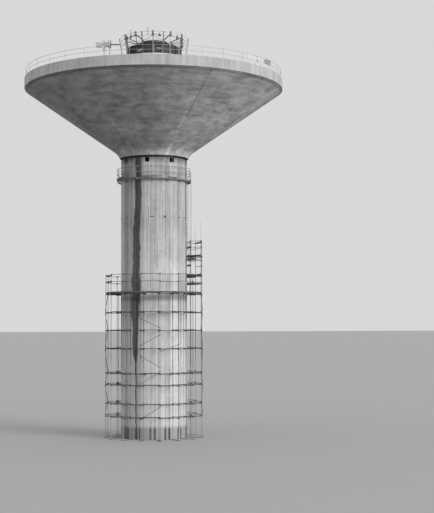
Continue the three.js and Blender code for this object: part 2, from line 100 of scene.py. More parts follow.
Socket = bpy.types.NodeSocket
Value = Socket | float
Pair = tuple[float, float]
Table = tuple[tuple[float, ...], ...]
Ends = tuple[Vector, Vector]
Outline = list[Pair]


class Slot(Enum):
    """The record's material slots."""

    SHAFT = "shaft_concrete"
    THROAT = "throat_concrete"
    SOFFIT = "soffit_concrete"
    RIM = "rim_concrete"
    ROOF = "roof_concrete"
    PALE_TUBE = "pale_tube"
    TUBE = "scaffold_tube"
    BOARD = "boards"
    DARK_STEEL = "dark_steel"


# Places round the axis


def outward(angle: float) -> Vector:
    """Returns the level unit vector that points outward at an angle in degrees."""
    turn = math.radians(angle)
    return Vector((math.sin(turn), -math.cos(turn), 0.0))


def at(radius: float, angle: float, height: float) -> Vector:
    """Returns the point at a radius, an angle in degrees and a height."""
    return outward(angle) * radius + UP * height


def level(radius: float, first: float, last: float, height: float) -> Ends:
    """Returns the ends of a level line from one angle to another at a radius."""
    return at(radius, first, height), at(radius, last, height)


def upright(radius: float, angle: float, low: float, high: float) -> Ends:
    """Returns the ends of an upright line between two heights."""
    return at(radius, angle, low), at(radius, angle, high)


def radial(angle: float, inner: float, outer: float, height: float) -> Ends:
    """Returns the ends of a level line that leads away from the axis."""
    return at(inner, angle, height), at(outer, angle, height)


def centred(middle: Vector, half: Vector) -> Ends:
    """Returns the ends of a line from its middle and the way from there to its last end."""
    return middle - half, middle + half


def longer(ends: Ends, reach: float) -> Ends:
    """Returns the ends of a line that is made longer at both of them."""
    more = (ends[1] - ends[0]).normalized() * reach
    return ends[0] - more, ends[1] + more


def lerp(low: float, high: float, share: float) -> float:
    """Returns the value at a share of the way from low to high."""
    return low + (high - low) * share


def spread(count: int, first: float = 0.0) -> list[float]:
    """Returns count angles in even steps round the axis, starting at first."""
    return [first + index * 360 / count for index in range(count)]


def oblong(inner: float, outer: float, low: float, high: float) -> Outline:
    """Returns the outline of a flat-sided ring as radius and height pairs."""
    return [(inner, low), (outer, low), (outer, high), (inner, high)]


def numbered(name: str, count: int) -> list[str]:
    """Returns the names of the CAD nodes that are numbered from 1 to count."""
    return [f"{name}_{index}" for index in range(1, count + 1)]


def alternate(index: int, size: float) -> float:
    """Returns a size for an odd number, and minus that size for an even one."""
    return size if index % 2 else -size


def roof_under(radius: float) -> float:
    """Returns the height of the roof's underside at a radius."""
    return RIM_LEDGE + GAP + (ROOF_EDGE - radius) * ROOF_SLOPE


def standard_angle(index: int) -> float:
    """Returns the angle of one of the scaffold's standards, which also starts the bay of that number."""
    return SCAFFOLD_PHASE + index * 360 / SCAFFOLD_BAYS


# Finishes


class Nodes:
    """A node material that is put together step by step."""

    def __init__(self, name: str) -> None:
        """Starts an empty material with its shader.

        Args:
            name: The material's name.
        """
        self.material = bpy.data.materials.new(name)
        self.material.use_nodes = True
        self.tree = self.material.node_tree
        self.shader = self.tree.nodes["Principled BSDF"]

    def link(self, value: Value | Sequence[float], socket: Socket) -> None:
        """Sets a socket from another socket or a plain value.

        Args:
            value: The other socket or the value.
            socket: The socket that is set.
        """
        if isinstance(value, Socket):
            self.tree.links.new(value, socket)
        else:
            socket.default_value = value

    def node(self, kind: str, *values: Value | Sequence[float], **settings: str) -> bpy.types.Node:
        """Makes a node.

        Args:
            kind: Its kind, as Blender names it after ShaderNode.
            values: What its inputs are set to, in their order.
            settings: Its own settings.

        Returns:
            The node.
        """
        node = self.tree.nodes.new("ShaderNode" + kind)
        for name, setting in settings.items():
            setattr(node, name, setting)
        for socket, value in zip(node.inputs, values):
            self.link(value, socket)
        return node

    def math(self, operation: str, *values: Value) -> Socket:
        """Returns the result of a math node."""
        return self.node("Math", *values, operation=operation).outputs[0]

    def times(self, product: Value, *factors: Value) -> Socket:
        """Multiplies some numbers.

        Args:
            product: The first number.
            factors: The others.

        Returns:
            Their product.
        """
        for factor in factors:
            product = self.math("MULTIPLY", product, factor)
        return product

    def mix(self, *terms: tuple[Socket, float]) -> Socket:
        """Adds up some numbers, each times its weight.

        Args:
            terms: Each number with its weight.

        Returns:
            Their sum.
        """
        total = self.times(*terms[0])
        for value, weight in terms[1:]:
            total = self.math("MULTIPLY_ADD", value, weight, total)
        return total

    def apart(self, first: Value, second: Value) -> Socket:
        """Returns how far two numbers are apart."""
        return self.math("ABSOLUTE", self.math("SUBTRACT", first, second))

    def attribute(self, name: str, output: str) -> Socket:
        """Returns an output of a mesh attribute."""
        return self.node("Attribute", attribute_name=name).outputs[output]

    def position(self) -> Socket:
        """Returns the place on the tower in metres."""
        return self.node("TexCoord").outputs["Object"]

    def parts(self, vector: Socket) -> Sequence[Socket]:
        """Returns the three numbers of a vector."""
        return self.node("SeparateXYZ", vector).outputs

    def vector(self, x: Value, y: Value, z: Value) -> Socket:
        """Returns a vector made from three numbers."""
        return self.node("CombineXYZ", x, y, z).outputs[0]

    def scaled(self, vector: Socket, *scale: float) -> Socket:
        """Returns a vector multiplied by another."""
        return self.node("VectorMath", vector, scale, operation="MULTIPLY").outputs[0]

    def noise(
        self,
        vector: Socket,
        scale: float = 1.0,
        detail: float = 3.0,
        rough: float = 0.55,
        bend: float = 0.0,
    ) -> Socket:
        """Returns smooth noise from 0 to 1.

        Args:
            vector: Where it is read.
            scale: Its waves for each unit of the vector.
            detail: The number of finer layers on it.
            rough: How strong those layers are.
            bend: How much it is warped.

        Returns:
            The noise.
        """
        node = self.node("TexNoise")
        self.link(vector, node.inputs["Vector"])
        node.inputs["Scale"].default_value = scale
        node.inputs["Detail"].default_value = detail
        node.inputs["Roughness"].default_value = rough
        node.inputs["Distortion"].default_value = bend
        return node.outputs[0]

    def ramp(
        self, value: Value, low: float, high: float, start: Value, end: Value, kind: str = "LINEAR"
    ) -> Socket:
        """Returns a value mapped from one range to another, and held at the ends.

        Args:
            value: The value.
            low: Where the first range starts.
            high: Where it ends.
            start: The result at low.
            end: The result at high.
            kind: The way from start to end.

        Returns:
            The mapped value.
        """
        return self.node("MapRange", value, low, high, start, end, interpolation_type=kind).outputs[0]

    def between(self, value: Value, low: float, high: float, start: Value, end: Value) -> Socket:
        """Returns a value mapped like a ramp that starts and ends softly."""
        return self.ramp(value, low, high, start, end, "SMOOTHSTEP")

    def grey(self, value: Socket, warmth: float = 0.012) -> None:
        """Uses a number as the base colour, a little warmer than grey.

        Args:
            value: The number.
            warmth: How much more red and less blue than green it gets.
        """
        red, blue = self.times(value, 1 + warmth), self.times(value, 1 - warmth)
        colour = self.node("CombineColor", red, value, blue).outputs[0]
        self.link(colour, self.shader.inputs["Base Color"])

    def rough(self, value: Value) -> None:
        """Sets the roughness."""
        self.link(value, self.shader.inputs["Roughness"])

    def bump(self, height: Socket, distance: float, strength: float) -> None:
        """Uses a number as the height of the surface's relief.

        Args:
            height: The number.
            distance: How many metres high a height of 1 is.
            strength: How strongly the relief shows.
        """
        node = self.node("Bump")
        self.link(strength, node.inputs["Strength"])
        self.link(distance, node.inputs["Distance"])
        self.link(height, node.inputs["Height"])
        self.link(node.outputs[0], self.shader.inputs["Normal"])

    def angle_of(self, vector: Socket) -> Socket:
        """Returns the angle in degrees round the tower's axis."""
        x, y, _ = self.parts(vector)
        return self.times(self.math("ARCTAN2", x, self.times(y, -1.0)), 180 / math.pi)

    def radius_of(self, vector: Socket) -> Socket:
        """Returns the distance from the tower's axis."""
        flat = self.scaled(vector, 1.0, 1.0, 0.0)
        return self.node("VectorMath", flat, operation="LENGTH").outputs["Value"]


@dataclass(frozen=True)
class ShaftFinish:
    """Slip-formed shaft concrete: upright streaks, grooves, a wet stain, a damp foot, painted light on the
    lower wall and in the groove beds, and painted shade on the head and under the scaffold deck.

    A pair of heights, angles or radii is the stretch in which one tone turns into another.
    """

    name: str = "shaft_concrete"
    light: float = 0.47
    dark: float = 0.25
    brightest: float = 0.56
    stain: float = 0.05
    # Painted light: the groove beds are made lighter to cancel the shade that falls in them.
    groove: float = 1.2
    strip: float = 0.86
    groove_bed: Pair = (3.22, 3.246)
    slot_end: Pair = (1.0, 1.3)
    foot: Pair = (0.9, 1.5)
    # Painted light: the wall below each of these stretches is made lighter to cancel the scaffold's shade
    # on it.
    painted_light_lower: Pair = (8.0, 14.0)
    painted_light_middle: Pair = (14.5, 21.0)
    # Painted shade: over these heights the head darkens upward towards the gap under the tank.
    head: Pair = (26.52, 27.1)
    far_left: Pair = (-72.0, -58.0)
    left: Pair = (-46.0, -30.0)
    clean_start: Pair = (-22.0, -17.0)
    clean_end: Pair = (-3.0, 5.0)
    shaded_head: Pair = (-42.0, -34.0)
    # Painted shadow of the scaffold deck, a dark band round this height.
    painted_deck_shadow: float = 13.5
    # A darker upright line round this angle.
    right_dark_line: float = 74.0

    def make(self) -> bpy.types.Material:
        """Makes the material.

        Returns:
            The material.
        """
        nodes = Nodes(self.name)
        place = nodes.position()
        height = nodes.parts(place)[2]
        angle = nodes.angle_of(place)
        radius = nodes.radius_of(place)
        streaks = nodes.noise(nodes.scaled(place, 3.4, 3.4, 0.09), 1.0, 4, 0.62)
        fine = nodes.noise(nodes.scaled(place, 13.0, 13.0, 0.32), 1.0, 3, 0.6)
        blotches = nodes.noise(place, 0.6, 4, 0.6)
        spots = nodes.noise(nodes.scaled(place, 4.0, 4.0, 2.2), 1.0, 4, 0.7)
        grain = nodes.noise(place, 22.0, 3, 0.7)
        mixed = nodes.mix((blotches, 0.28), (streaks, 0.5), (spots, 0.22))
        # Painted light in the groove beds; within the foot slots the beds are made darker instead.
        bed = nodes.between(height, *self.slot_end, 0.55, self.groove)
        wall = nodes.times(
            nodes.ramp(mixed, 0.36, 0.60, self.dark, self.light),
            nodes.ramp(fine, 0.32, 0.68, 0.84, 1.1),
            nodes.ramp(grain, 0.3, 0.7, 0.95, 1.05),
            nodes.between(radius, *self.groove_bed, bed, 1.0),
            self.striped(nodes, angle),
            self.stained(nodes, angle, height, streaks, fine),
            nodes.between(angle, *self.left, nodes.between(angle, *self.far_left, 1.35, 0.92), 1.0),
            nodes.between(angle, *self.clean_end, nodes.between(angle, *self.clean_start, 1.0, 1.16), 1.0),
            # Painted light on the wall behind the scaffold.
            nodes.between(height, *self.painted_light_middle, 1.24, 1.0),
            nodes.between(height, *self.painted_light_lower, 1.17, 1.0),
        )
        # Painted shade on the head under the tank, deeper towards its left.
        shade = nodes.between(spots, 0.38, 0.62, 0.26, 0.5)
        shade = nodes.times(shade, nodes.between(angle, *self.shaded_head, 0.55, 1.0))
        tone = nodes.times(
            nodes.math("MINIMUM", wall, self.brightest),
            nodes.between(height, *self.foot, 0.56, 1.0),
            nodes.ramp(height, *self.head, 1.0, shade),
            # Painted shadow under the scaffold deck.
            nodes.between(nodes.apart(height, self.painted_deck_shadow), 0.08, 0.36, 0.68, 1.0),
            # A darker upright line near the right edge.
            nodes.between(nodes.apart(angle, self.right_dark_line), 4.0, 6.0, 0.68, 1.0),
        )
        nodes.grey(tone)
        nodes.rough(nodes.between(fine, 0.3, 0.7, 0.78, 0.95))
        nodes.bump(nodes.math("ADD", grain, fine), 0.006, 0.6)
        return nodes.material

    def striped(self, nodes: Nodes, angle: Socket) -> Socket:
        """Dulls the narrow strips between the pairs of grooves.

        Args:
            nodes: The material.
            angle: The angle round the axis.

        Returns:
            The factor, 1 beside the strips.
        """
        turn = nodes.math("SUBTRACT", angle, STRIP_PHASE - STRIP_PITCH / 2)
        share = nodes.math("FRACT", nodes.times(turn, 1 / STRIP_PITCH))
        edge = STRIP_HALF_ANGLE / STRIP_PITCH
        return nodes.between(nodes.apart(share, 0.5), edge - 0.03, edge + 0.03, self.strip, 1.0)

    def stained(
        self, nodes: Nodes, angle: Socket, height: Socket, streaks: Socket, fine: Socket
    ) -> Socket:
        """Returns the factor that darkens the wet run down the left of the front.

        Args:
            nodes: The material.
            angle: The angle round the axis.
            height: The height.
            streaks: Coarse noise that bends the run's edges.
            fine: Fine noise that breaks them up.

        Returns:
            The factor, 1 outside the wet run.
        """
        high = nodes.between(height, 19.5, 23.0, -31.4, -27.6)
        centre = nodes.between(height, 14.5, 19.5, -33.3, high)
        wide = nodes.between(height, 14.8, 16.5, 6.9, 5.4)
        low = nodes.between(height, 7.2, 8.3, 0.9, nodes.between(height, 10.6, 12.4, 4.4, wide))
        sway = nodes.noise(nodes.vector(0.0, 0.0, height), 0.9, 3, 0.6)
        half = nodes.times(
            low, nodes.between(height, 19.0, 23.0, 1.25, 1.12), nodes.ramp(sway, 0.3, 0.7, 0.82, 1.2)
        )
        bend = nodes.between(nodes.noise(nodes.vector(7.0, 0.0, height), 0.5, 2), 0.3, 0.7, -1.4, 1.4)
        off = nodes.apart(nodes.math("SUBTRACT", angle, centre), bend)
        share = nodes.math("MULTIPLY_ADD", fine, 0.3, nodes.math("DIVIDE", off, half))
        wet = self.stain / self.dark
        depth = nodes.between(streaks, 0.35, 0.65, wet * 0.8, wet * 1.2)
        return nodes.between(share, 0.95, 1.35, depth, 1.0)


@dataclass(frozen=True)
class ConeFinish:
    """Board-marked concrete under the tank: faint rings of boards, mottling, streaks, a joint, painted
    light on the right, painted shade on the left, a painted shadow under the rim band and painted shade on
    the bearing neck.

    The same finish runs down the flare, where it turns pale.
    """

    name: str = "soffit_concrete"
    light: float = 0.337
    dark: float = 0.14
    throat: float = 1.36
    board: float = 0.29
    joint_angle: float = 24.3
    pale_angles: Pair = (22.5, -34.3)
    # Painted shade: the recessed bearing neck below these heights is made dark.
    bearing: Pair = (27.341, 27.36)
    flare: Pair = (27.75, 28.75)
    # Heights over which the painted light on the right and the painted shade on the left change.
    low_cone: Pair = (28.3, 30.0)
    inner_cone: Pair = (5.5, 8.0)
    # Painted shadow under the rim band's overhang, darkening the soffit near its edge.
    painted_rim_shadow: Pair = (12.3, 12.55)
    pale_ring: float = 5.95
    damp_ring: float = 7.2

    def make(self) -> bpy.types.Material:
        """Makes the material.

        Returns:
            The material.
        """
        nodes = Nodes(self.name)
        place = nodes.position()
        angle = nodes.angle_of(place)
        radius = nodes.radius_of(place)
        x, y, height = nodes.parts(place)
        row = nodes.math("FLOOR", nodes.math("DIVIDE", radius, self.board))
        cos, sin = nodes.math("DIVIDE", x, radius), nodes.math("DIVIDE", y, radius)
        boards = nodes.noise(nodes.vector(cos, sin, nodes.times(row, 3.7)), 2.6, 3, 0.6)
        polar = nodes.vector(cos, sin, radius)
        runs = nodes.noise(nodes.scaled(polar, 30.0, 30.0, 0.3), 1.0, 3, 0.6)
        blotches = nodes.noise(place, 0.30, 5, 0.66, 0.5)
        spots = nodes.noise(place, 1.5, 5, 0.7)
        grain = nodes.noise(place, 9.0, 4, 0.75)
        rings = nodes.noise(nodes.scaled(polar, 6.0, 6.0, 2.3), 1.0, 4, 0.62)
        mixed = nodes.mix((boards, 0.14), (blotches, 0.28), (runs, 0.06), (rings, 0.34), (spots, 0.18))
        # Painted light on the right of the soffit and painted shade on its left, by the angle round the
        # axis.
        turn = nodes.math("MULTIPLY_ADD", blotches, 24.0, angle)
        painted_light_right = nodes.between(turn, 110.0, 160.0, nodes.between(height, *self.low_cone, 1.26, 1.36), 1.0)
        dull = nodes.between(height, *self.low_cone, 0.99, 0.90)
        shady = nodes.between(turn, -60.0, -10.0, dull, 1.03)
        low = nodes.math("MULTIPLY_ADD", spots, 0.5, height)
        tone = nodes.times(
            nodes.ramp(mixed, 0.402, 0.586, self.dark, self.light),
            nodes.ramp(grain, 0.3, 0.7, 0.82, 1.18),
            nodes.between(turn, 8.0, 50.0, shady, painted_light_right),
            self.lined(nodes, angle, radius, spots),
            # Painted shadow under the rim band.
            nodes.between(radius, *self.painted_rim_shadow, 1.0, 0.58),
            nodes.between(radius, *self.inner_cone, 0.93, 1.0),
            nodes.between(low, *self.flare, self.throat, 1.0),
            # Painted shade on the bearing neck.
            nodes.between(height, *self.bearing, 0.25, 1.0),
        )
        nodes.grey(tone)
        nodes.rough(nodes.between(spots, 0.3, 0.7, 0.8, 0.96))
        nodes.bump(nodes.math("ADD", grain, spots), 0.008, 0.6)
        return nodes.material

    def lined(self, nodes: Nodes, angle: Socket, radius: Socket, spots: Socket) -> Socket:
        """Returns the factor of the dark joint and the pale runs that follow the slope.

        Args:
            nodes: The material.
            angle: The angle round the axis.
            radius: The distance from the axis.
            spots: Noise that breaks up the pale runs.

        Returns:
            The factor, 1 on plain concrete.
        """
        reach = nodes.times(radius, math.pi / 180)
        joint = nodes.times(nodes.apart(angle, self.joint_angle), reach)
        dark = nodes.between(joint, 0.04, 0.10, 0.62, 1.0)
        shown = nodes.math("MAXIMUM", dark, nodes.between(radius, 7.2, 8.4, 1.0, 0.0))
        for middle in self.pale_angles:
            off = nodes.times(nodes.apart(angle, middle), reach)
            pale = nodes.between(off, 0.05, 0.26, nodes.between(spots, 0.36, 0.6, 1.06, 1.28), 1.0)
            shown = nodes.times(shown, nodes.between(radius, 7.2, 7.6, pale, 1.0))
        bright = nodes.between(spots, 0.36, 0.6, 1.05, 1.22)
        rings = nodes.times(
            nodes.between(nodes.apart(radius, self.pale_ring), 0.1, 0.75, bright, 1.0),
            nodes.between(nodes.apart(radius, self.damp_ring), 0.3, 0.9, 0.9, 1.0),
        )
        return nodes.times(shown, nodes.between(nodes.apart(angle, -6.0), 24.0, 30.0, rings, 1.0))


@dataclass(frozen=True)
class ConcreteFinish:
    """Plain concrete with soft blotches and faint upright runs.

    Where it has joints, each length between two of them has a tone of its own, and its left and right sides
    are scaled by factors of painted light and shade.
    """

    name: str
    light: float
    dark: float
    runs: float = 0.35
    joints: int = 0
    # Factors of painted light and shade on the left and right sides, 1 for none.
    left: float = 1.0
    right: float = 1.0

    def make(self) -> bpy.types.Material:
        """Makes the material.

        Returns:
            The material.
        """
        nodes = Nodes(self.name)
        place = nodes.position()
        blotches = nodes.noise(place, 0.5, 4, 0.6)
        runs = nodes.noise(nodes.scaled(place, 3.0, 3.0, 0.25), 1.0, 4, 0.6)
        grain = nodes.noise(place, 18.0, 3, 0.7)
        mixed = nodes.mix((blotches, 1 - self.runs), (runs, self.runs))
        tone = nodes.times(
            nodes.ramp(mixed, 0.34, 0.66, self.dark, self.light), nodes.ramp(grain, 0.3, 0.7, 0.96, 1.04)
        )
        if self.joints:
            angle = nodes.angle_of(place)
            length = nodes.math("FLOOR", nodes.times(angle, self.joints / 360))
            patch = nodes.noise(nodes.vector(length, 0.0, 0.0), 3.7, 0, 0.5)
            tone = nodes.times(
                tone,
                nodes.between(patch, 0.3, 0.7, 0.93, 1.05),
                # Painted light and shade on the left and right sides.
                nodes.between(angle, -60.0, -12.0, self.left, 1.0),
                nodes.between(angle, 12.0, 60.0, 1.0, self.right),
            )
        nodes.grey(tone)
        nodes.rough(nodes.between(runs, 0.3, 0.7, 0.75, 0.94))
        nodes.bump(grain, 0.004, 0.5)
        return nodes.material


@dataclass(frozen=True)
class TimberFinish:
    """Sawn boards: grain along each board, a tone of its own and grey weathering."""

    name: str
    light: float
    dark: float

    def make(self) -> bpy.types.Material:
        """Makes the material.

        Returns:
            The material.
        """
        nodes = Nodes(self.name)
        local = nodes.attribute("local", "Vector")
        own = nodes.attribute("tone", "Fac")
        grain = nodes.noise(nodes.scaled(local, 1.5, 45.0, 45.0), 1.0, 4, 0.6, 0.3)
        wear = nodes.noise(nodes.scaled(local, 1.2, 4.0, 4.0), 1.0, 3, 0.6)
        mixed = nodes.mix((wear, 0.3), (grain, 0.4), (own, 0.3))
        nodes.grey(nodes.ramp(mixed, 0.25, 0.75, self.dark, self.light), 0.015)
        nodes.rough(nodes.between(wear, 0.3, 0.7, 0.72, 0.95))
        nodes.bump(grain, 0.002, 0.6)
        return nodes.material


@dataclass(frozen=True)
class TubeFinish:
    """Used steel or alloy: dull, with patches and scuffs along it and a tone of its own."""

    name: str
    light: float
    dark: float
    metal: float = 0.35
    warmth: float = 0.03

    def make(self) -> bpy.types.Material:
        """Makes the material.

        Returns:
            The material.
        """
        nodes = Nodes(self.name)
        local = nodes.attribute("local", "Vector")
        own = nodes.attribute("tone", "Fac")
        scuffs = nodes.noise(nodes.scaled(local, 3.0, 30.0, 30.0), 1.0, 4, 0.65)
        patches = nodes.noise(nodes.scaled(local, 1.1, 2.0, 2.0), 1.0, 3, 0.6)
        mixed = nodes.mix((patches, 0.4), (scuffs, 0.3), (own, 0.3))
        nodes.grey(nodes.ramp(mixed, 0.25, 0.75, self.dark, self.light), self.warmth)
        nodes.link(self.metal, nodes.shader.inputs["Metallic"])
        nodes.rough(nodes.between(scuffs, 0.3, 0.7, 0.45, 0.8))
        nodes.bump(scuffs, 0.0012, 0.5)
        return nodes.material


class Finish(Enum):
    """The finishes of the tower's pieces."""

    SHAFT = ShaftFinish()
    SOFFIT = ConeFinish()
    CORE = ConcreteFinish("core_concrete", 0.50, 0.36)
    # The rim band gets painted light on its left and painted shade on its right.
    RIM = ConcreteFinish("rim_concrete", 0.49, 0.285, 0.6, 36, 1.24, 0.92)
    ROOF = ConcreteFinish("roof_concrete", 0.50, 0.36, 0.1)
    TUBE = TubeFinish("scaffold_tube", 0.13, 0.035)
    GREY_TUBE = TubeFinish("grey_tube", 0.36, 0.18, 0.3, 0.0)
    RAIL_TUBE = TubeFinish("rail_tube", 0.46, 0.30, 0.2, 0.0)
    PALE_TUBE = TubeFinish("pale_tube", 0.62, 0.42, 0.2, 0.0)
    WINCH_STEEL = TubeFinish("winch_steel", 0.56, 0.32, 0.1, 0.0)
    WORN_STEEL = TubeFinish("worn_steel", 0.24, 0.10, 0.3, 0.02)
    YOKE_STEEL = TubeFinish("yoke_steel", 0.15, 0.05, 0.3, 0.02)
    DARK_STEEL = TubeFinish("dark_steel", 0.075, 0.02, 0.3, 0.02)
    BOARD = TimberFinish("scaffold_boards", 0.25, 0.08)
    PAINTED_BOARD = TimberFinish("painted_boards", 0.60, 0.46)
    MIXED_BOARD = TimberFinish("mixed_boards", 0.42, 0.07)
    NEW_TIMBER = TimberFinish("new_timber", 0.56, 0.24)
    SHUTTER = TimberFinish("shutter_ply", 0.07, 0.02)


@cache
def material_of(finish: Finish) -> bpy.types.Material:
    """Returns a finish's material, which is made when a piece first needs it."""
    return finish.value.make()


# Mesh building


@dataclass
class Shape:
    """A mesh that is gathered from bars, tubes, rings and blocks, and then made into one piece.

    Each vertex keeps its place within its own bar or tube, which the grain of the finishes
    follows, and the tone of that bar, which makes neighbours differ.
    """

    seed: int
    vertices: list[Vector] = field(default_factory=list)
    faces: list[tuple[int, ...]] = field(default_factory=list)
    local: list[Vector] = field(default_factory=list)
    tones: list[float] = field(default_factory=list)

    def __post_init__(self) -> None:
        """Seeds the numbers that vary the parts."""
        self.random = random.Random(self.seed)

    def add(
        self,
        points: Sequence[Vector],
        faces: Sequence[tuple[int, ...]],
        local: Sequence[Vector] | None = None,
        tone: float | None = None,
    ) -> None:
        """Adds one part.

        Args:
            points: Its corners.
            faces: Its faces, as indices into points.
            local: Each corner's place within the part, or None to use the corners themselves.
            tone: The part's tone from 0 to 1, or None for a random one.
        """
        base = len(self.vertices)
        shift = Vector((self.random.uniform(0, 90), self.random.uniform(0, 90), 0.0))
        self.vertices.extend(points)
        self.faces.extend(tuple(base + index for index in face) for face in faces)
        self.local.extend(place + shift for place in (local or points))
        chosen = self.random.random() if tone is None else tone
        self.tones.extend([chosen] * len(points))

    def bar(
        self,
        start: Vector,
        end: Vector,
        width: float,
        depth: float | None = None,
        side: Vector = UP,
        tone: float | None = None,
    ) -> None:
        """Adds a straight bar or board of rectangular section.

        Args:
            start: The middle of its first end.
            end: The middle of its other end.
            width: Its size across, level when side is up.
            depth: Its size towards side, or None for a square section.
            side: The direction that its depth is turned towards.
            tone: Its tone, or None for a random one.
        """
        depth = width if depth is None else depth
        along = (end - start).normalized()
        across = side.cross(along).normalized()
        normal = along.cross(across)
        length = (end - start).length
        points, local = [], []
        for base, run in ((start, 0.0), (end, length)):
            for u, v in ((-1, -1), (1, -1), (1, 1), (-1, 1)):
                points.append(base + across * (u * width / 2) + normal * (v * depth / 2))
                local.append(Vector((run, u * width / 2, v * depth / 2)))
        faces = [(0, 3, 2, 1), (4, 5, 6, 7)]
        faces += [(i, (i + 1) % 4, (i + 1) % 4 + 4, i + 4) for i in range(4)]
        self.add(points, faces, local, tone)

    def tube(
        self,
        start: Vector,
        end: Vector,
        radius: float = 0.0242,
        sides: int = 10,
        bore: float = 0.0042,
        tone: float | None = None,
    ) -> None:
        """Adds a straight round tube with open ends.

        Args:
            start: The middle of its first end.
            end: The middle of its other end.
            radius: Its outer radius.
            sides: The number of flats round it.
            bore: The wall's thickness that shows at the ends, or 0 for a solid rod.
            tone: Its tone, or None for a random one.
        """
        along = (end - start).normalized()
        length = (end - start).length
        side = UP if abs(along.z) < 0.9 else Vector((1.0, 0.0, 0.0))
        across = side.cross(along).normalized()
        normal = along.cross(across)
        deep = min(0.05, length / 4)
        rings = [(0.0, radius), (length, radius)]
        if bore:
            inner = radius - bore
            rings = [(deep, inner), (0.0, inner), *rings, (length, inner), (length - deep, inner)]
        points, local = [], []
        for run, size in rings:
            for index in range(sides):
                turn = math.tau * (index + 0.5) / sides
                offset = across * (math.cos(turn) * size) + normal * (math.sin(turn) * size)
                points.append(start + along * run + offset)
                local.append(Vector((run, math.cos(turn) * size, math.sin(turn) * size)))
        faces = [tuple(range(sides)), tuple(range(len(points) - sides, len(points)))]
        for ring in range(len(rings) - 1):
            for index in range(sides):
                a, b = ring * sides + index, ring * sides + (index + 1) % sides
                faces.append((a, b, b + sides, a + sides))
        self.add(points, faces, local, tone)

    def rod(self, start: Vector, end: Vector, radius: float, sides: int = 10) -> None:
        """Adds a straight round bar without a bore."""
        self.tube(start, end, radius, sides, 0)

    def hoop(self, outlines: Sequence[Sequence[Vector]], tone: float = 0.5) -> None:
        """Adds a skin over closed outlines that follow each other all the way round.

        Args:
            outlines: The corners of each outline, the same number in each.
            tone: Its tone.
        """
        count = len(outlines[0])
        faces = []
        for step in range(len(outlines)):
            here, ahead = step * count, (step + 1) % len(outlines) * count
            for index in range(count):
                follow = (index + 1) % count
                faces.append((here + index, ahead + index, ahead + follow, here + follow))
        self.add([corner for outline in outlines for corner in outline], faces, None, tone)

    def turned(
        self,
        profile: Outline,
        steps: int = ROUND_STEPS,
        first: float = 0.0,
        centre: Vector | None = None,
    ) -> None:
        """Adds a closed outline turned all the way round an upright axis.

        Args:
            profile: Radius and height pairs of the closed outline.
            steps: The number of flats round it.
            first: The angle of its first corners in degrees.
            centre: The point that its radii and heights start from, or None for the tower's foot.
        """
        place = centre or Vector((0.0, 0.0, 0.0))
        angles = spread(steps, first)
        self.hoop([[place + at(radius, angle, height) for radius, height in profile] for angle in angles])

    def cells(
        self,
        radii: Sequence[float],
        angles: Sequence[float],
        heights: Sequence[float],
        filled: Callable[[float, float, float], bool] | None = None,
        tone: float = 0.5,
    ) -> None:
        """Adds the skin of a solid that fills some cells of a round grid.

        Args:
            radii: The grid's radii, rising.
            angles: The grid's angles in degrees, rising, less than a full turn in all.
            heights: The grid's heights, rising.
            filled: Tells if the cell round a middle radius, angle and height is solid, or None
                where all of them are.
            tone: Its tone.
        """
        full = {
            (i, j, k)
            for i in range(len(radii) - 1)
            for j in range(len(angles) - 1)
            for k in range(len(heights) - 1)
            if filled is None
            or filled(
                (radii[i] + radii[i + 1]) / 2,
                (angles[j] + angles[j + 1]) / 2,
                (heights[k] + heights[k + 1]) / 2,
            )
        }
        sides = {
            (1, 0, 0): ((1, 0, 0), (1, 1, 0), (1, 1, 1), (1, 0, 1)),
            (-1, 0, 0): ((0, 0, 0), (0, 0, 1), (0, 1, 1), (0, 1, 0)),
            (0, 1, 0): ((0, 1, 0), (0, 1, 1), (1, 1, 1), (1, 1, 0)),
            (0, -1, 0): ((0, 0, 0), (1, 0, 0), (1, 0, 1), (0, 0, 1)),
            (0, 0, 1): ((0, 0, 1), (1, 0, 1), (1, 1, 1), (0, 1, 1)),
            (0, 0, -1): ((0, 0, 0), (0, 1, 0), (1, 1, 0), (1, 0, 0)),
        }
        known: dict[tuple[int, int, int], int] = {}
        points, faces = [], []
        for i, j, k in sorted(full):
            for (di, dj, dk), corners in sides.items():
                if (i + di, j + dj, k + dk) in full:
                    continue
                face = []
                for a, b, c in corners:
                    key = (i + a, j + b, k + c)
                    if key not in known:
                        known[key] = len(points)
                        points.append(at(radii[key[0]], angles[key[1]], heights[key[2]]))
                    face.append(known[key])
                faces.append(tuple(face))
        self.add(points, faces, None, tone)

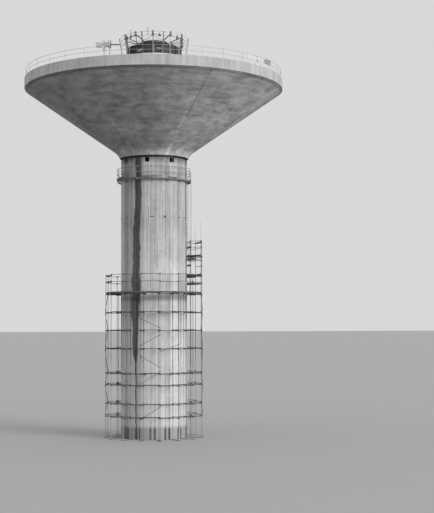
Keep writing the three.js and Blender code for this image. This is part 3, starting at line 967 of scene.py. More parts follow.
    def build(
        self,
        name: str,
        finish: Finish,
        slot: Slot,
        nodes: Sequence[str] = (),
        bevel: float = 0.0,
        sharp: float = SHARP_ANGLE,
    ) -> None:
        """Makes the piece and lets it ride on the tower.

        Args:
            name: The piece's name.
            finish: Its finish.
            slot: The record's slot that the finish belongs to; it is not used.
            nodes: The CAD nodes that it stands for.
            bevel: The width of its rounded edges in metres, or 0 for none.
            sharp: The angle between two faces from which their edge is sharp.
        """
        mesh = bpy.data.meshes.new(name)
        mesh.from_pydata(self.vertices, [], self.faces)
        local = mesh.attributes.new("local", "FLOAT_VECTOR", "POINT")
        local.data.foreach_set("vector", [value for place in self.local for value in place])
        tone = mesh.attributes.new("tone", "FLOAT", "POINT")
        tone.data.foreach_set("value", self.tones)
        work = bmesh.new()
        work.from_mesh(mesh)
        bmesh.ops.recalc_face_normals(work, faces=work.faces)
        work.to_mesh(mesh)
        work.free()
        mesh.shade_smooth()
        mesh.set_sharp_from_angle(angle=sharp)
        mesh.materials.append(material_of(finish))
        piece = bpy.data.objects.new(name, mesh)
        bpy.context.scene.collection.objects.link(piece)
        if bevel:
            edge = piece.modifiers.new("edges", "BEVEL")
            edge.width = bevel
            edge.segments = 1
            edge.limit_method = "ANGLE"
            edge.angle_limit = math.radians(40)
            edge.harden_normals = True
        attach(piece, "root")
        if nodes:
            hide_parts(*nodes)
        triangles = sum(len(face) - 2 for face in self.faces)
        log.info("%s: %d triangles before its edges", name, triangles)


# The shaft


@dataclass
class Shaft:
    """The fluted shaft, its floor, and the blocks of its head."""

    staves: int = 7
    seam: float = 0.00015
    groove_width: float = 0.095
    groove_depth: float = 0.034
    slot_width: float = 0.2
    slot_depth: float = 0.09
    slot_height: float = 1.1
    lift: float = 1.28
    facet: float = 1.6
    floor_top: float = 0.3
    pockets: int = 8
    pocket_phase: float = -12.8
    pocket_width: float = 0.52
    ties: float = 21.38

    def build(self) -> None:
        """Makes all the pieces."""
        for index in range(self.staves):
            self.stave(index)
        self.floor()
        self.head()
        self.sockets()

    def stave(self, index: int) -> None:
        """Makes one tall segment of the wall, with its grooves and foot slots.

        Args:
            index: Its number, from 0.
        """
        sweep = 360 / self.staves
        first = STRIP_PHASE + STRIP_PITCH / 2 + index * sweep
        seam = math.degrees(self.seam / SHAFT_RADIUS)
        half = math.degrees(self.groove_width / 2 / SHAFT_RADIUS)
        wide = math.degrees(self.slot_width / 2 / SHAFT_RADIUS)
        strips = spread(STRIP_COUNT, STRIP_PHASE)
        grooves = [strip + side * STRIP_HALF_ANGLE for strip in strips for side in (-1, 1)]
        offsets = [(groove - first) % 360 for groove in grooves]
        middles = [first + offset for offset in offsets if offset < sweep]
        angles = {first + seam, first + sweep - seam}
        for middle in middles:
            angles |= {middle + side * size for side in (-1, 1) for size in (half, wide)}
        for count in range(1, int(sweep / self.facet)):
            angle = first + count * self.facet
            if all(abs(angle - other) > 0.6 for other in angles):
                angles.add(angle)
        bed, deep = SHAFT_RADIUS - self.groove_depth, SHAFT_RADIUS - self.slot_depth
        lifts = [self.slot_height + self.lift * count for count in range(20)]

        def filled(radius: float, angle: float, height: float) -> bool:
            """Tells if the wall is solid at a place.

            Args:
                radius: Its distance from the axis.
                angle: Its angle.
                height: Its height.

            Returns:
                True where it is solid.
            """
            off = min(abs(angle - middle) for middle in middles)
            if height < self.slot_height and off < wide:
                return radius < deep
            return radius < bed or off > half

        shape = Shape(index + 1)
        shape.cells(
            [SHAFT_BORE, deep, bed, SHAFT_RADIUS], sorted(angles), [0.0, *lifts, SHAFT_TOP], filled
        )
        number = index + 1
        nodes = [f"shaft_wall_{number}"]
        shape.build(f"shaft_stave_{number}", Finish.SHAFT, Slot.SHAFT, nodes, 0.008)

    def floor(self) -> None:
        """Makes the ground floor slab inside the shaft."""
        shape = Shape(11)
        edge, eye, chamfer = SHAFT_BORE - 2 * GAP, 0.02, 0.01
        rounded = [(edge, self.floor_top - chamfer), (edge - chamfer, self.floor_top)]
        shape.turned([(eye, 0.0), (edge, 0.0), *rounded, (eye, self.floor_top)], 112)
        shape.build("ground_floor", Finish.ROOF, Slot.SHAFT, ["foot_floor"])

    def head(self) -> None:
        """Makes the blocks of the head with the jack pockets between them."""
        half = math.degrees(self.pocket_width / 2 / SHAFT_RADIUS)
        pitch, steps = 360 / self.pockets, 24
        for index, first in enumerate(spread(self.pockets, self.pocket_phase)):
            low, high = first + half, first + pitch - half
            angles = [lerp(low, high, step / steps) for step in range(steps + 1)]
            shape = Shape(20 + index)
            shape.cells([HEAD_BORE, SHAFT_RADIUS], angles, [SHAFT_TOP + GAP, HEAD_TOP])
            nodes = [f"head_block_{index + 1}"]
            shape.build(f"head_pad_{index + 1}", Finish.SHAFT, Slot.SHAFT, nodes, 0.012)

    def sockets(self) -> None:
        """Makes the tie pockets in the wall: a lined hole on one strip and a slot on the next."""
        shape = Shape(31)
        for index, centre in enumerate(spread(STRIP_COUNT, STRIP_PHASE)):
            if index % 2:
                place = at(SHAFT_RADIUS - 0.03, centre - STRIP_HALF_ANGLE, self.ties)
                shape.tube(place, place + outward(centre) * 0.045, 0.11, 16, 0.02, 0.1)
            else:
                place = at(SHAFT_RADIUS - 0.012, centre, self.ties)
                shape.bar(*centred(place, outward(centre + 90) * 0.15), 0.03, 0.08, tone=0.1)
        shape.build("tie_pockets", Finish.DARK_STEEL, Slot.SHAFT)


# The tank


@dataclass
class Tank:
    """The flared throat, conical shell, rim band, roof and core."""

    bearing_radius: float = 2.96
    bearing_top: float = 27.34
    throat_top: float = 28.3
    flare_radius: float = 1.6
    flare_steps: int = 18
    cone_radius: float = 3.95
    cone_height: float = 28.06
    slope: float = math.radians(34.65)
    shell: float = 0.3
    board: float = 0.29
    board_joint: float = 0.002
    edge_radius: float = 12.62
    rim_bottom: float = 34.13
    rim_width: float = 0.45
    rim_lengths: int = 36
    rim_chamfer: float = 0.02
    rim_joint: float = 0.012
    core_bore: float = 2.45
    core_chamfer: float = 0.015
    corbel: float = 0.2
    corbel_height: float = 0.35

    def height_at(self, radius: float) -> float:
        """Returns the height of the soffit at a radius."""
        return self.cone_height + (radius - self.cone_radius) * math.tan(self.slope)

    def radius_at(self, height: float) -> float:
        """Returns the radius of the soffit at a height."""
        return self.cone_radius + (height - self.cone_height) / math.tan(self.slope)

    def build(self) -> None:
        """Makes all the pieces."""
        self.throat()
        self.soffit()
        self.rim()
        self.roof()
        self.core()

    def throat(self) -> None:
        """Makes the ring that flares from the shaft's bearing out to the cone."""
        centre_radius = self.cone_radius + self.flare_radius * math.sin(self.slope)
        centre_height = self.cone_height - self.flare_radius * math.cos(self.slope)
        low = math.asin((self.bearing_top - centre_height) / self.flare_radius)
        high = math.pi / 2 - self.slope
        flare = []
        for step in range(self.flare_steps + 1):
            turn = lerp(low, high, step / self.flare_steps)
            across, rise = self.flare_radius * math.cos(turn), self.flare_radius * math.sin(turn)
            flare.append((centre_radius - across, centre_height + rise))
        bottom = HEAD_TOP + GAP
        profile = [
            (self.core_bore, bottom),
            (self.bearing_radius, bottom),
            (self.bearing_radius, self.bearing_top),
            *flare,
            (self.radius_at(self.throat_top), self.throat_top),
            (self.core_bore, self.throat_top),
        ]
        shape = Shape(41)
        shape.turned(profile)
        shape.build("throat_flare", Finish.SOFFIT, Slot.THROAT, numbered("throat_ring", 4))

    def soffit(self) -> None:
        """Makes the conical shell, with the rings of form boards stepped into its underside."""
        chance = random.Random(5)
        bottom, top = self.throat_top + GAP, self.rim_bottom - GAP
        normal = Vector((math.sin(self.slope), -math.cos(self.slope)))
        outline: Outline = []
        radius = self.radius_at(bottom)
        while radius < self.edge_radius - 0.02:
            ahead = min((math.floor(radius / self.board + 1e-6) + 1) * self.board, self.edge_radius)
            if ahead > self.edge_radius - 0.1:
                ahead = self.edge_radius
            back = chance.uniform(0.0, 0.005)
            for edge in (radius + self.board_joint, ahead - self.board_joint):
                place = Vector((edge, self.height_at(edge))) - normal * back
                outline.append((place.x, max(place.y, bottom)))
            radius = ahead
        outline[-1] = (self.edge_radius, self.height_at(self.edge_radius))
        rise = self.shell / math.cos(self.slope)
        profile = [
            (self.radius_at(bottom - rise), bottom),
            *outline,
            (self.edge_radius, top),
            (self.radius_at(top - rise), top),
        ]
        shape = Shape(42)
        shape.turned(profile)
        nodes = numbered("tank_shell", 8)
        shape.build("tank_soffit", Finish.SOFFIT, Slot.SOFFIT, nodes, sharp=math.radians(5))

    def rim(self) -> None:
        """Makes the rim band, with shallow joints between its cast lengths."""
        joint = math.degrees(self.rim_joint / RIM_RADIUS)
        pitch, flats = 360 / self.rim_lengths, 6
        stations = []
        for angle in spread(self.rim_lengths):
            stations += [(angle - joint, 0.0), (angle, self.rim_joint), (angle + joint, 0.0)]
            stations += [(angle + flat * pitch / flats, 0.0) for flat in range(1, flats)]
        shape = Shape(43)
        shape.hoop(
            [
                [at(radius, angle, height) for radius, height in self.rim_profile(back)]
                for angle, back in stations
            ]
        )
        shape.build("rim_kerb", Finish.RIM, Slot.RIM, ["rim_band"])

    def rim_profile(self, back: float) -> Outline:
        """Works out the outline of the rim band, with its drip groove.

        Args:
            back: How far its face is set back.

        Returns:
            Radius and height pairs.
        """
        lip, inner, chamfer = RIM_RADIUS - RIM_LIP, RIM_RADIUS - self.rim_width, self.rim_chamfer
        drip = [(RIM_RADIUS - 0.10, 0.0), (RIM_RADIUS - 0.09, 0.02), (RIM_RADIUS - 0.07, 0.02)]
        drip += [(RIM_RADIUS - 0.06, 0.0)]
        return [
            (inner, self.rim_bottom),
            *((radius, self.rim_bottom + rise) for radius, rise in drip),
            (RIM_RADIUS - chamfer - back, self.rim_bottom),
            (RIM_RADIUS - back, self.rim_bottom + chamfer),
            (RIM_RADIUS - back, RIM_TOP - chamfer),
            (RIM_RADIUS - chamfer - back, RIM_TOP),
            (lip + chamfer, RIM_TOP),
            (lip, RIM_TOP - chamfer),
            (lip, RIM_LEDGE),
            (inner, RIM_LEDGE),
        ]

    def roof(self) -> None:
        """Makes the shallow roof slab, floated in rings."""
        eye, rings = CORE_RADIUS + GAP, 12
        radii = [lerp(ROOF_EDGE, eye, ring / rings) for ring in range(rings + 1)]
        top = [(radius, roof_under(radius) + ROOF_THICKNESS) for radius in radii]
        shape = Shape(44)
        shape.turned([(eye, roof_under(eye)), (ROOF_EDGE, roof_under(ROOF_EDGE)), *top])
        shape.build("roof_cone", Finish.ROOF, Slot.ROOF, ["roof_slab"])

    def core(self) -> None:
        """Makes the core wall, which widens under the roof and stands out above it."""
        chamfer = self.core_chamfer
        corbel_edge = CORE_RADIUS + self.corbel
        corbel_top = roof_under(corbel_edge) - GAP
        profile = [
            (self.core_bore, self.throat_top + GAP),
            (CORE_RADIUS, self.throat_top + GAP),
            (CORE_RADIUS, corbel_top - self.corbel_height),
            (corbel_edge, corbel_top - self.corbel_height / 2),
            (corbel_edge, corbel_top),
            (CORE_RADIUS, roof_under(CORE_RADIUS) - GAP),
            (CORE_RADIUS, CORE_TOP - chamfer),
            (CORE_RADIUS - chamfer, CORE_TOP),
            (self.core_bore + chamfer, CORE_TOP),
            (self.core_bore, CORE_TOP - chamfer),
        ]
        shape = Shape(45)
        shape.turned(profile, 168)
        shape.build("core_drum", Finish.CORE, Slot.RIM, numbered("core_wall", 4))


# Scaffold tubes, their couplers and boards


def clamp(shape: Shape, place: Vector, first: Vector, second: Vector, gap: Vector) -> None:
    """Adds a scaffold coupler, which holds two tubes that pass each other.

    Args:
        shape: The mesh that it joins.
        place: The first tube's axis where they pass.
        first: The first tube's direction.
        second: The second tube's direction.
        gap: From the first tube's axis to the second's.
    """
    first, second = first.normalized() * 0.032, second.normalized() * 0.032
    shape.tube(*centred(place, first), 0.033, 8, 0.008)
    shape.tube(*centred(place + gap, second), 0.033, 8, 0.008)
    bolt = first.cross(gap)
    if bolt.length > 1e-6:
        bolt = bolt.normalized() * 0.05
        shape.bar(place + bolt * 0.6, place + bolt * 1.2 + gap * 0.4, 0.03, 0.02)


def foot(shape: Shape, radius: float, angle: float, base: float) -> None:
    """Adds the square base plate and the spigot under a standard."""
    shape.bar(*upright(radius, angle, base, base + 0.008), 0.15, 0.15, outward(angle))
    shape.rod(*upright(radius, angle, base + 0.008, base + 0.07), 0.019)


def sleeve(shape: Shape, radius: float, angle: float, height: float) -> None:
    """Adds the sleeve over the joint between two lengths of a standard."""
    shape.rod(*upright(radius, angle, height - 0.09, height + 0.09), 0.031)


def ledger(shape: Shape, bay: int, radius: float, height: float, gap: float) -> None:
    """Adds a tube from one standard past the next, and its coupler.

    Args:
        shape: The mesh that it joins.
        bay: The bay that it crosses.
        radius: Its distance from the tower's axis where it passes a standard.
        height: Its height.
        gap: How far the standard's axis lies outward of its own.
    """
    start, end = level(radius, standard_angle(bay), standard_angle(bay + 1), height)
    shape.tube(*longer((start, end), 0.12))
    clamp(shape, start, end - start, UP, outward(standard_angle(bay)) * gap)


def flat_board(shape: Shape, bay: int, radius: float, height: float, reach: float) -> None:
    """Adds a board that lies across a bay and reaches past it at both ends."""
    ends = level(radius, standard_angle(bay), standard_angle(bay + 1), height)
    shape.bar(*longer(ends, reach), BOARD_WIDTH, 0.038)


def edge_board(
    shape: Shape,
    bay: int,
    radius: float,
    height: float,
    depth: float = 0.15,
    short: float = 0.5,
    tone: float | None = None,
) -> None:
    """Adds a board that stands on edge along a bay.

    Args:
        shape: The mesh that it joins.
        bay: The bay.
        radius: The distance of its ends from the tower's axis.
        height: The height of its middle.
        depth: How tall it stands.
        short: How many degrees it ends short of each standard.
        tone: Its tone, or None for a random one.
    """
    ends = level(radius, standard_angle(bay) + short, standard_angle(bay + 1) - short, height)
    shape.bar(*ends, 0.036, depth, tone=tone)


# The guard rail round the rim


@dataclass
class RimGuard:
    """Posts and two rails round the rim, the painted board and the timbers strapped to them."""

    radius: float = 12.62
    bays: int = 36
    groups: int = 4
    rails: Pair = (35.55, 35.985)
    top: float = 36.0
    tube: float = 0.015
    panels: Table = ((43.6, 46.3), (46.4, 49.1), (49.2, 51.9), (52.0, 54.8))
    panel_heights: Pair = (35.46, 35.96)
    kerb_boards: range = range(48, 76, 4)
    timbers: int = 14
    timber_starts: Pair = (55.2, 57.4)
    timber_ends: Pair = (60.6, 62.4)
    timber_bottom: float = 35.56
    timber_pitch: float = 0.062
    straps: Pair = (57.7, 60.3)
    strap_heights: Pair = (35.52, 36.004)

    def build(self) -> None:
        """Makes all the pieces."""
        share = self.bays // self.groups
        for group in range(self.groups):
            shape = Shape(50 + group)
            for bay in range(group * share, (group + 1) * share):
                self.bay(shape, bay * 360 / self.bays)
            nodes = [f"rim_guard_{group + 1}"]
            shape.build(f"rim_rail_{group + 1}", Finish.RAIL_TUBE, Slot.PALE_TUBE, nodes)
        self.panel()
        self.bundle()

    def bay(self, shape: Shape, angle: float) -> None:
        """Adds one post with its foot plate, and the rails to the next one.

        Args:
            shape: The mesh that it joins.
            angle: The angle of the post.
        """
        plate = RIM_TOP + GAP
        shape.bar(*upright(self.radius, angle, plate, plate + 0.01), 0.14, 0.1)
        shape.tube(*upright(self.radius, angle, plate + 0.01, self.top), self.tube)
        for height in self.rails:
            shape.rod(*level(self.radius, angle, angle + 360 / self.bays, height), self.tube)
            shape.rod(*upright(self.radius, angle, height - 0.03, height + 0.015), 0.024)

    def panel(self) -> None:
        """Makes the painted board across the rails on the right, and the boards on the kerb there."""
        shape = Shape(55)
        low, high = self.panel_heights
        rows = 3
        depth = (high - low) / rows
        for first, last in self.panels:
            for row in range(rows):
                ends = level(self.radius - 0.045, first, last, low + (row + 0.5) * depth)
                shape.bar(*ends, 0.022, depth - 0.002)
            middle = (first + last) / 2
            shape.bar(*upright(self.radius - 0.075, middle, low, high), 0.05, 0.035, outward(middle))
        for first in self.kerb_boards:
            for inset in (0.03, 0.075):
                shape.bar(*level(RIM_RADIUS - inset, first + 0.1, first + 3.9, RIM_TOP + 0.056), 0.04, 0.11)
        shape.build("rim_board", Finish.PAINTED_BOARD, Slot.PALE_TUBE, bevel=0.004)

    def bundle(self) -> None:
        """Makes the timbers beside the board, and the straps that hold them to the rails."""
        shape = Shape(56)
        chance = random.Random(8)
        for step in range(self.timbers):
            first, last = chance.uniform(*self.timber_starts), chance.uniform(*self.timber_ends)
            radius = self.radius - 0.05 - 0.05 * (step % 2)
            row = self.timber_bottom + self.timber_pitch * (step // 2)
            height = row + chance.uniform(0, 0.008)
            shape.bar(at(radius, first, height), at(radius, last, height + 0.02), 0.046, 0.046)
        shape.build("rim_timbers", Finish.NEW_TIMBER, Slot.BOARD, bevel=0.004)
        straps = Shape(57)
        outer, inner = self.radius + 0.018, self.radius - 0.126
        low, high = self.strap_heights
        for angle in self.straps:
            for radius in (outer, inner):
                straps.bar(*upright(radius, angle, low, high), 0.03, 0.004, outward(angle))
            for height in (low, high):
                straps.bar(*radial(angle, inner, outer, height), 0.03, 0.004)
        straps.build("rim_straps", Finish.RAIL_TUBE, Slot.PALE_TUBE)


# The collar platform


@dataclass
class Collar:
    """The boarded platform under the tank, its brackets and its guard rail."""

    top: float = 25.14
    thickness: float = 0.06
    outer: float = 3.70
    bays: int = 28
    board_row: float = 3.385
    board_pitch: float = 0.205
    rail_radius: float = 3.64
    rails: Pair = (25.72, 26.275)
    rail_top: float = 26.3
    bow: float = 0.15
    stacks: dict[int, int] = field(default_factory=lambda: {2: 3, 12: 2, 23: 2})
    stained_bays: tuple[int, ...] = (11, 12)
    toe_boards: Table = (
        (4.0, 12.5, 25.28, 0.09),
        (92.0, 112.0, 25.3, 0.09),
        (201.0, 220.0, 25.3, 0.09),
        (-18.0, -7.0, 25.24, 0.2),
        (-7.2, 4.0, 25.26, 0.2),
    )
    loose_boards: Table = (
        (-76.0, -66.0, 25.26),
        (-62.0, -50.0, 25.3),
        (-98.0, -84.0, 25.22),
    )

    def build(self) -> None:
        """Makes all the pieces."""
        self.deck()
        self.guard()

    def deck(self) -> None:
        """Makes the boards, the ones that stand on edge, and the knee brackets."""
        shape = Shape(61)
        self.boards(shape)
        toe = self.rail_radius + 0.036
        for first, last, height, depth in self.toe_boards:
            shape.bar(*level(toe, first, last, height), 0.022, depth, tone=0.1)
        for first, last, height in self.loose_boards:
            shape.bar(at(toe, first, height), at(toe, last, height + 0.06), 0.05, 0.1, tone=0.0)
        low = self.top - self.thickness
        for angle in spread(STRIP_COUNT, STRIP_PHASE):
            edge = level(self.outer - 0.03, angle + 0.4, angle + STRIP_PITCH - 0.4, low - 0.045)
            shape.bar(*edge, 0.035, 0.09, tone=0.1)
            wall, head = radial(angle, SHAFT_RADIUS + 0.01, self.outer - 0.05, low - 0.02)
            shape.bar(wall, head, 0.055, 0.04, tone=0.1)
            shape.bar(wall - UP * 0.22, head - UP * 0.01, 0.045, 0.04, tone=0.1)
            shape.bar(wall - UP * 0.25, wall + UP * 0.02, 0.06, 0.02, outward(angle), tone=0.1)
        shape.build("collar_boards", Finish.MIXED_BOARD, Slot.BOARD, ["collar_deck"], 0.004)

    def boards(self, shape: Shape) -> None:
        """Adds the two rows of deck boards and the spare ones stacked on them.

        The boards bow up a little towards the left.

        Args:
            shape: The mesh that they join.
        """
        chance = random.Random(3)
        pitch = 360 / self.bays
        for bay, first in enumerate(spread(self.bays, STRIP_PHASE)):
            spare = self.stacks.get(bay, 0)
            bow = self.bow * max(0.0, math.cos(math.radians(first + pitch / 2 + 90))) ** 2
            for layer in range(1 + spare):
                for row in range(2):
                    radius = self.board_row + self.board_pitch * row
                    lift = 0.039 * layer + bow + chance.uniform(-0.012, 0.0)
                    start = at(radius, first - 0.8 + layer, self.top - 0.02 + lift)
                    end = at(radius, first + pitch + 0.8 + layer, self.top - 0.024 + lift)
                    tone = 0.0 if spare else chance.uniform(0.0, 0.75)
                    shape.bar(start, end, 0.195, 0.036, tone=tone)

    def guard(self) -> None:
        """Makes the posts, rails and couplers round the platform."""
        clean, stained = Shape(62), Shape(63)
        for index, angle in enumerate(spread(STRIP_COUNT, STRIP_PHASE)):
            shape = stained if index in self.stained_bays else clean
            shape.tube(*upright(self.rail_radius, angle, self.top, self.rail_top))
            for height in self.rails:
                rail = height - 0.012 * (index % 2)
                start, end = level(self.rail_radius, angle - 1.0, angle + STRIP_PITCH + 1.0, rail)
                shape.tube(start, end)
                place = at(self.rail_radius, angle, height - 0.01)
                clamp(shape, place, UP, end - start, outward(angle) * 0.01)
        clean.build("collar_rails", Finish.GREY_TUBE, Slot.TUBE, ["collar_guard"])
        stained.build("collar_old_rails", Finish.WORN_STEEL, Slot.TUBE)


# The scaffold


@dataclass
class Scaffold:
    """The tube scaffold round the foot of the shaft, in four quarters, with its boards."""

    quarters: int = 4
    plate: float = 0.038
    clear: float = 0.052
    stagger: float = 0.026
    outer_joints: Pair = (6.95, 7.75)
    inner_joints: Pair = (7.3, 6.9)
    tied_lifts: Pair = (6.32, 14.0)
    deck_lift: float = 14.0
    part_lift: float = 12.2
    part_bays: tuple[int, ...] = (0, 4, 12, 15)
    board_row: float = 3.83
    board_pitch: float = 0.232
    guard_boards: Pair = (15.16, 15.74)
    guard_bays: tuple[int, ...] = (5, 11, 12)
    braced_bays: tuple[int, ...] = (3, 7, 11)
    corner_braces: Table = (
        (15, 9.0, 10.0),
        (15, 5.35, 6.54),
        (15, 2.03, 3.2),
        (15, 11.55, 10.68),
        (15, 8.04, 6.92),
        (0, 8.4, 9.1),
    )
    lower: Shape = field(default_factory=lambda: Shape(84))

    def build(self) -> None:
        """Makes all the pieces."""
        share = SCAFFOLD_BAYS // self.quarters
        for quarter in range(self.quarters):
            outer, inner = Shape(70 + quarter), Shape(75 + quarter)
            for bay in range(quarter * share, (quarter + 1) * share):
                self.outer_bay(outer, bay)
                self.inner_bay(inner, bay)
            number = quarter + 1
            outer.build(f"outer_lattice_{number}", Finish.TUBE, Slot.TUBE, [f"outer_frame_{number}"])
            inner.build(f"inner_lattice_{number}", Finish.TUBE, Slot.TUBE, [f"inner_frame_{number}"])
        self.lower.build("lower_standards", Finish.GREY_TUBE, Slot.TUBE)
        self.braces()
        self.deck()
        self.soles()

    def standard(
        self, upper: Shape, lower: Shape, place: Pair, joint: float, top: float
    ) -> None:
        """Adds a standard in two lengths, with its foot and the sleeve between them.

        Args:
            upper: The mesh that its upper length, foot and sleeve join.
            lower: The mesh that its lower length joins.
            place: Its radius and angle.
            joint: The height where the two lengths meet.
            top: The height of its top.
        """
        foot(upper, *place, self.plate)
        lower.tube(*upright(*place, 0.05, joint))
        upper.tube(*upright(*place, joint, top))
        sleeve(upper, *place, joint)

    def outer_bay(self, shape: Shape, bay: int) -> None:
        """Adds a bay of the outer frame: its standard, ledgers and top rails.

        Args:
            shape: The mesh that it joins.
            bay: Its number, from 0.
        """
        place = (OUTER_RADIUS, standard_angle(bay))
        lower = shape if bay == 0 else self.lower
        self.standard(shape, lower, place, self.outer_joints[bay % 2], OUTER_TOP)
        for lift in (*LIFTS, *TOP_RAILS):
            height = lift + alternate(bay, self.stagger)
            ledger(shape, bay, OUTER_RADIUS - self.clear, height, self.clear)

    def inner_bay(self, shape: Shape, bay: int) -> None:
        """Adds a bay of the inner frame: its standard, ledgers, cross tubes and wall ties.

        Args:
            shape: The mesh that it joins.
            bay: Its number, from 0.
        """
        angle = standard_angle(bay)
        joint = self.inner_joints[bay % 2]
        self.standard(shape, self.lower, (INNER_RADIUS, angle), joint, INNER_TOP)
        turn = math.degrees(self.clear / ((INNER_RADIUS + OUTER_RADIUS) / 2))
        for lift in LIFTS:
            height = lift + alternate(bay, self.stagger)
            ledger(shape, bay, INNER_RADIUS + self.clear, height, -self.clear)
            start = INNER_RADIUS - (0.05 if lift == self.deck_lift else 0.14)
            tied = lift in self.tied_lifts and bay % 2 == 1
            if tied:
                start = SHAFT_RADIUS + 0.012
            under = lift - 0.075
            shape.tube(*radial(angle + turn, start, OUTER_RADIUS + 0.08, under))
            if tied:
                plate = at(SHAFT_RADIUS + 0.003, angle + turn, under)
                shape.bar(plate, plate + outward(angle) * 0.012, 0.16, 0.16)
            middle = at(INNER_RADIUS, angle + turn * 0.9, under)
            clamp(shape, middle, outward(angle), UP, outward(angle + 90) * -self.clear)

    def braces(self) -> None:
        """Makes the raking braces on the faces of the frame."""
        shape = Shape(81)
        spans = list(self.corner_braces)
        for bay in self.braced_bays:
            for step, (low, high) in enumerate(zip(LIFTS, LIFTS[1:])):
                ends = (low + 0.15, high - 0.15) if step % 2 else (high - 0.15, low + 0.15)
                spans.append((bay, *ends))
        for bay, first, last in spans:
            start = at(OUTER_RADIUS + self.clear, standard_angle(bay), first)
            end = at(OUTER_RADIUS + self.clear, standard_angle(bay + 1), last)
            shape.tube(*longer((start, end), 0.1))
            for place in (start, end):
                inward = Vector((-place.x, -place.y, 0.0)).normalized()
                clamp(shape, place, end - start, UP, inward * self.clear)
        shape.build("scaffold_braces", Finish.TUBE, Slot.TUBE)

    def deck(self) -> None:
        """Makes the boarded lift on top, a part of the lift below, and the toe boards."""
        shape = Shape(82)
        chance = random.Random(12)
        toe = OUTER_RADIUS - 0.075
        for bay in range(SCAFFOLD_BAYS):
            self.boards(shape, bay, self.deck_lift, 4, chance)
            edge_board(shape, bay, toe, self.deck_lift + 0.12, 0.1, tone=0.0)
            if bay in self.guard_bays:
                for height in self.guard_boards:
                    edge_board(shape, bay, toe, height, 0.13, 0.0)
            if bay in self.part_bays:
                self.boards(shape, bay, self.part_lift, 2, chance)
        shape.build("scaffold_boards", Finish.BOARD, Slot.BOARD, ["scaffold_deck"], 0.004)

    def boards(self, shape: Shape, bay: int, lift: float, count: int, chance: random.Random) -> None:
        """Adds the boards of one bay.

        Args:
            shape: The mesh that they join.
            bay: The bay.
            lift: The height of the ledgers that carry them.
            count: The number of boards side by side.
            chance: What varies their places.
        """
        base = lift + 0.046 + (0.0 if bay % 2 else 0.022)
        for row in range(count):
            radius = self.board_row + self.board_pitch * row
            height = base + chance.uniform(0.0, 0.004)
            flat_board(shape, bay, radius, height, chance.uniform(0.02, 0.1))

    def soles(self) -> None:
        """Makes the sole boards that the base plates stand on."""
        shape = Shape(83)
        for bay in range(SCAFFOLD_BAYS):
            ends = radial(standard_angle(bay), INNER_RADIUS - 0.2, OUTER_RADIUS + 0.2, self.plate / 2)
            shape.bar(*ends, BOARD_WIDTH, 0.036)
        shape.build("sole_boards", Finish.BOARD, Slot.BOARD, bevel=0.004)


